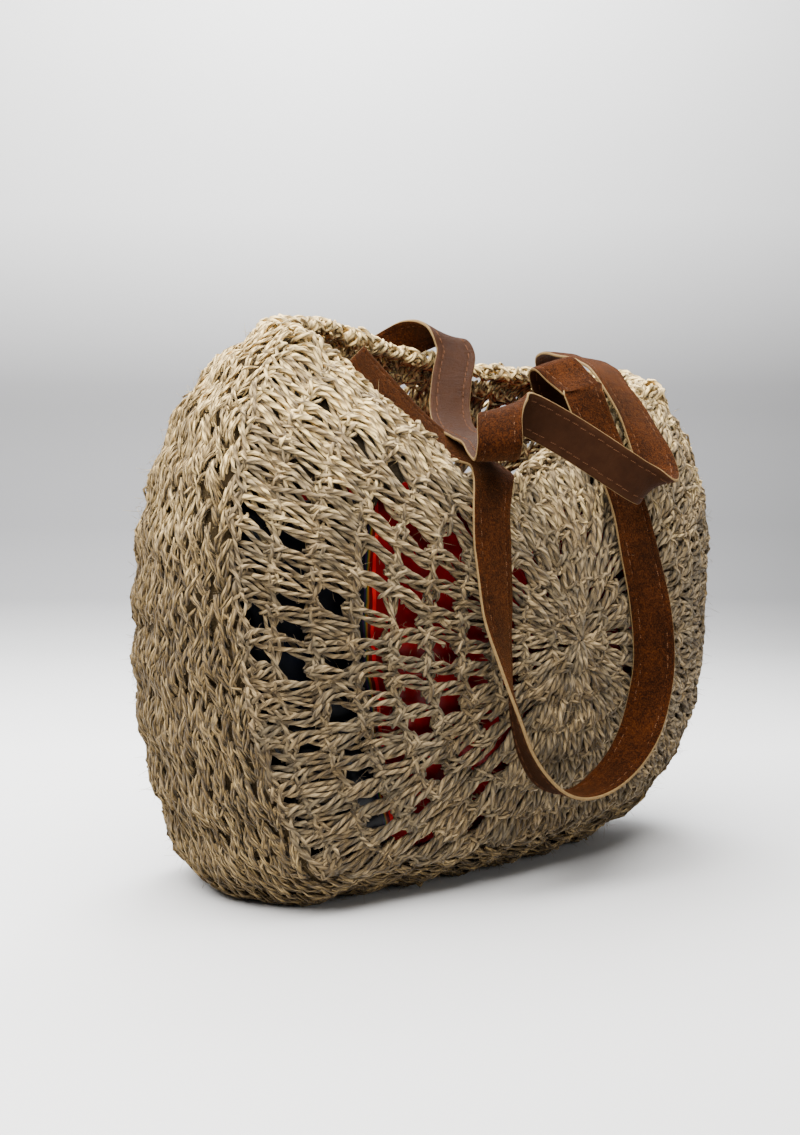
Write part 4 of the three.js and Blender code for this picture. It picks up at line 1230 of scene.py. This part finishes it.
def strap_stitching(name, line, suede_out, seed, rng):
    """Saddle stitches in both grooves, on both sides of the band."""
    middle, over, normal, run = line
    thread = Yarn()
    stitches = int(run[-1] / STITCH_PITCH)
    t = np.array([0, 0.16, 0.5, 0.84, 1])
    arch = np.array([-0.45, 0.10, 0.22, 0.10, -0.45])
    for groove in (-STITCH_LINE, STITCH_LINE):
        for face_side in (-1, 1):
            begin = np.arange(1, stitches - 1) + 0.1 * rng.standard_normal(stitches - 2)
            begin = begin * STITCH_PITCH
            length = STITCH_LENGTH * rng.uniform(0.9, 1.08, len(begin))
            at = begin[:, None] + length[:, None] * t
            face_up = unit(read_at(at, run, normal))
            up = face_up * face_side
            sunk = 0.36 if (face_side > 0) == suede_out else 0.0
            rise = STRAP_THICKNESS / 2 - 0.28 - sunk + arch
            skew = rng.normal(0, 0.12, (len(begin), 1)) + 0.18 * (t - 0.5) * 2
            across = groove + skew + strap_sway(at, seed)
            base = read_at(at, run, middle) + read_at(at, run, over) * across[..., None]
            base = base + face_up * strap_cup(groove, suede_out)
            tone = rng.uniform(0, 1, len(begin))
            thread.lay(base + up * rise[None, :, None], up, THREAD_RADIUS, tone)
    return thread.piece(name, saddle_thread)


def leather(name, light, dark, rough, grain, wrinkle):
    """Smooth leather with a fine grain, soft creases and rubbed edges."""
    finish = Finish(name)
    u, v = finish.parts(finish.place("UV"))[:2]
    fine = finish.node(
        "ShaderNodeTexVoronoi", {"feature": "DISTANCE_TO_EDGE"},
        {"Vector": finish.vector(u, v), "Scale": 22.0},
    )
    crease = finish.noise(finish.vector(u * 0.7, v * 2.6), 2.2, 3.0, 0.6)
    cloud = finish.noise(finish.vector(u, v), 0.9, 3.0, 0.6)
    color = finish.tint((cloud * 1.5 - 0.3 + crease * 0.3 - 0.1).clamped(), dark, light)
    rub = (u * u * 0.55 - 0.35).clamped() * cloud
    color = finish.tint(rub, color, tuple(min(1, c * 1.9) for c in light))
    return finish.surface(
        Base_Color=color, Roughness=rough + (cloud - 0.5) * 0.2, Specular_IOR_Level=0.03,
        Normal=finish.bumps(fine.between(0.0, 0.12) * grain + crease * wrinkle, 0.0010, 1.0),
    )


def suede(name, light, dark):
    """Raw suede with a short nap."""
    finish = Finish(name)
    u, v = finish.parts(finish.place("UV"))[:2]
    nap = finish.noise(finish.vector(u * 12, v * 8.5), 1.0, 4.0, 0.75)
    tuft = finish.noise(finish.vector(u * 4, v * 2.6), 1.0, 3.0, 0.65)
    cloud = finish.noise(finish.vector(u, v * 0.5), 0.8, 2.0, 0.5)
    mix = (nap * 2.4 + tuft * 0.9 + cloud * 0.6 - 1.76).clamped()
    color = finish.tint(mix, dark, light)
    return finish.surface(
        Base_Color=color, Roughness=1.0, Specular_IOR_Level=0.04,
        Sheen_Weight=0.05, Sheen_Roughness=0.5, Sheen_Tint=(1.0, 0.45, 0.15),
        Normal=finish.bumps(nap * 0.7 + tuft * 0.6, 0.0011, 1.0),
    )


smooth_leather = leather(
    "smooth_leather", (0.043, 0.0165, 0.0068), (0.025, 0.0092, 0.0037), 0.62, 0.35, 0.8
)
suede_leather = suede("suede_leather", (0.085, 0.0215, 0.0036), (0.0080, 0.0021, 0.0007))
edge_finish = Finish("cut_leather_edge")
rough_cut = edge_finish.noise(edge_finish.place("Object"), 700.0, 3.0, 0.6)
cut_edge = edge_finish.surface(
    Base_Color=edge_finish.tint(rough_cut, (0.085, 0.047, 0.019), (0.24, 0.16, 0.07)),
    Roughness=0.85, Specular_IOR_Level=0.05, Normal=edge_finish.bumps(rough_cut, 0.0005, 0.8),
)
thread_finish = Finish("saddle_thread")
u, v = thread_finish.parts(thread_finish.place("UV"))[:2]
turns = ((v * 2 - u * 9) * (2 * math.pi)).sine() * 0.5 + 0.5
saddle_thread = thread_finish.surface(
    Base_Color=thread_finish.tint(turns, (0.020, 0.008, 0.0035), (0.150, 0.065, 0.031)),
    Roughness=0.8, Specular_IOR_Level=0.03, Normal=thread_finish.bumps(turns, 0.0003, 0.7),
)
for side, suede_out, seed in (("front", True, 5), ("back", False, 9)):
    rng = np.random.default_rng(seed)
    place, over, normal, run = strap_stations(STRAP_WAYS[side])
    ripple = 0.35 * np.sin(run / 23 + rng.uniform(0, 6)) + 0.2 * np.sin(run / 9.1)
    line = (place + ripple[:, None] * normal * 0.5, over, normal, run)
    finishes = (smooth_leather, suede_leather, cut_edge)
    for piece in (
        strap_band(f"{side}_strap_leather", line, suede_out, seed, finishes),
        strap_stitching(f"{side}_strap_stitching", line, suede_out, seed, rng),
    ):
        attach(piece, "root")
        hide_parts(f"{side}_strap")

# Floor and light. A white paper sweep behind and under the bag, lit softly from
# above and a little from the left. The paper's colour holds painted light: painted
# shade low on the wall, brighter up high, and painted shadow further back and to the right.
SWEEP_BACK = 0.86
SWEEP_TURN = 0.26
SWEEP_HEIGHT = 3.2
SWEEP_HALF_WIDTH = 4.0
BLACK = (0.0, 0.0, 0.0)
paper_finish = Finish("paper")
ahead = Vector((-away.x, -away.y, 0)).normalized()
beside = Vector((ahead.y, -ahead.x, 0))
x, y, z = paper_finish.parts(paper_finish.place("Object"))
far = (x * ahead.x + y * ahead.y).between(0.30, 0.95)
right = (x * beside.x + y * beside.y).between(-0.15, 0.65)
# painted light on the wall: the paper is darkest at the foot of the curve and grows brighter up
# the wall, as under a lamp from above
tones = paper_finish.node("ShaderNodeValToRGB", {"stops": [
    (0.0, (0.62, 0.62, 0.625)), (0.05, (0.36, 0.36, 0.37)), (0.15, (0.30, 0.30, 0.31)),
    (0.36, (0.38, 0.38, 0.39)), (0.62, (0.90, 0.90, 0.91)), (0.88, (1.0, 1.0, 1.0)),
]}, {0: z / 0.8})
near_floor = 1 - z.between(0.0, 0.22)
shadow = 1 - (1 - far * 0.52) * (1 - right * (0.36 + near_floor * far * 0.34))
paper = paper_finish.surface(
    Base_Color=paper_finish.tint(shadow, tones, BLACK), Roughness=0.9
)
profile = [(-4.0, 0), (-1.0, 0), (0, 0), (SWEEP_BACK, 0)]
profile += [
    (SWEEP_BACK + SWEEP_TURN * math.sin(a), SWEEP_TURN * (1 - math.cos(a)))
    for a in (math.radians(k) for k in range(6, 90, 6))
]
profile += [(SWEEP_BACK + SWEEP_TURN, SWEEP_TURN), (SWEEP_BACK + SWEEP_TURN, SWEEP_HEIGHT)]
points = [
    tuple(ahead * run + beside * wide + Vector((0, 0, rise)))
    for run, rise in profile for wide in (-SWEEP_HALF_WIDTH, SWEEP_HALF_WIDTH)
]
sweep_mesh = bpy.data.meshes.new("sweep")
sweep_mesh.from_pydata(
    points, [], [(2 * i, 2 * i + 1, 2 * i + 3, 2 * i + 2) for i in range(len(profile) - 1)]
)
sweep_mesh.polygons.foreach_set("use_smooth", np.ones(len(profile) - 1, dtype=bool))
sweep_mesh.materials.append(paper)
sweep = bpy.data.objects.new("sweep", sweep_mesh)
bpy.context.collection.objects.link(sweep)
world = bpy.data.worlds.new("studio")
world.use_nodes = True
world.node_tree.nodes["Background"].inputs[0].default_value = (0.95, 0.97, 1.0, 1)
world.node_tree.nodes["Background"].inputs[1].default_value = 0.10
bpy.context.scene.world = world


def softbox(name, place, aim, size, power, color):
    place, aim = Vector(place), Vector(aim)
    bpy.ops.object.light_add(
        type="AREA", location=place, rotation=(aim - place).to_track_quat("-Z", "Y").to_euler()
    )
    lamp = bpy.context.object
    lamp.name = name
    lamp.data.size = size
    lamp.data.energy = power
    lamp.data.color = color


softbox("top_light", (-0.42, -0.08, 1.38), (-0.05, 0, 0.1), 1.9, 160, (1, 0.985, 0.955))
softbox("front_light", (-0.9, -1.7, 0.9), (0, 0, 0.15), 0.8, 0.8, (0.97, 0.98, 1))
softbox("side_light", (0.85, -0.95, 0.28), (0.10, -0.05, 0.02), 0.5, 4.6, (1, 0.99, 0.97))
behind = ahead * 0.80
softbox(
    "backdrop_light", (behind.x, behind.y, 1.32), tuple(ahead * 1.12 + Vector((0, 0, 0.55))),
    0.7, 56, (0.96, 0.98, 1),
)
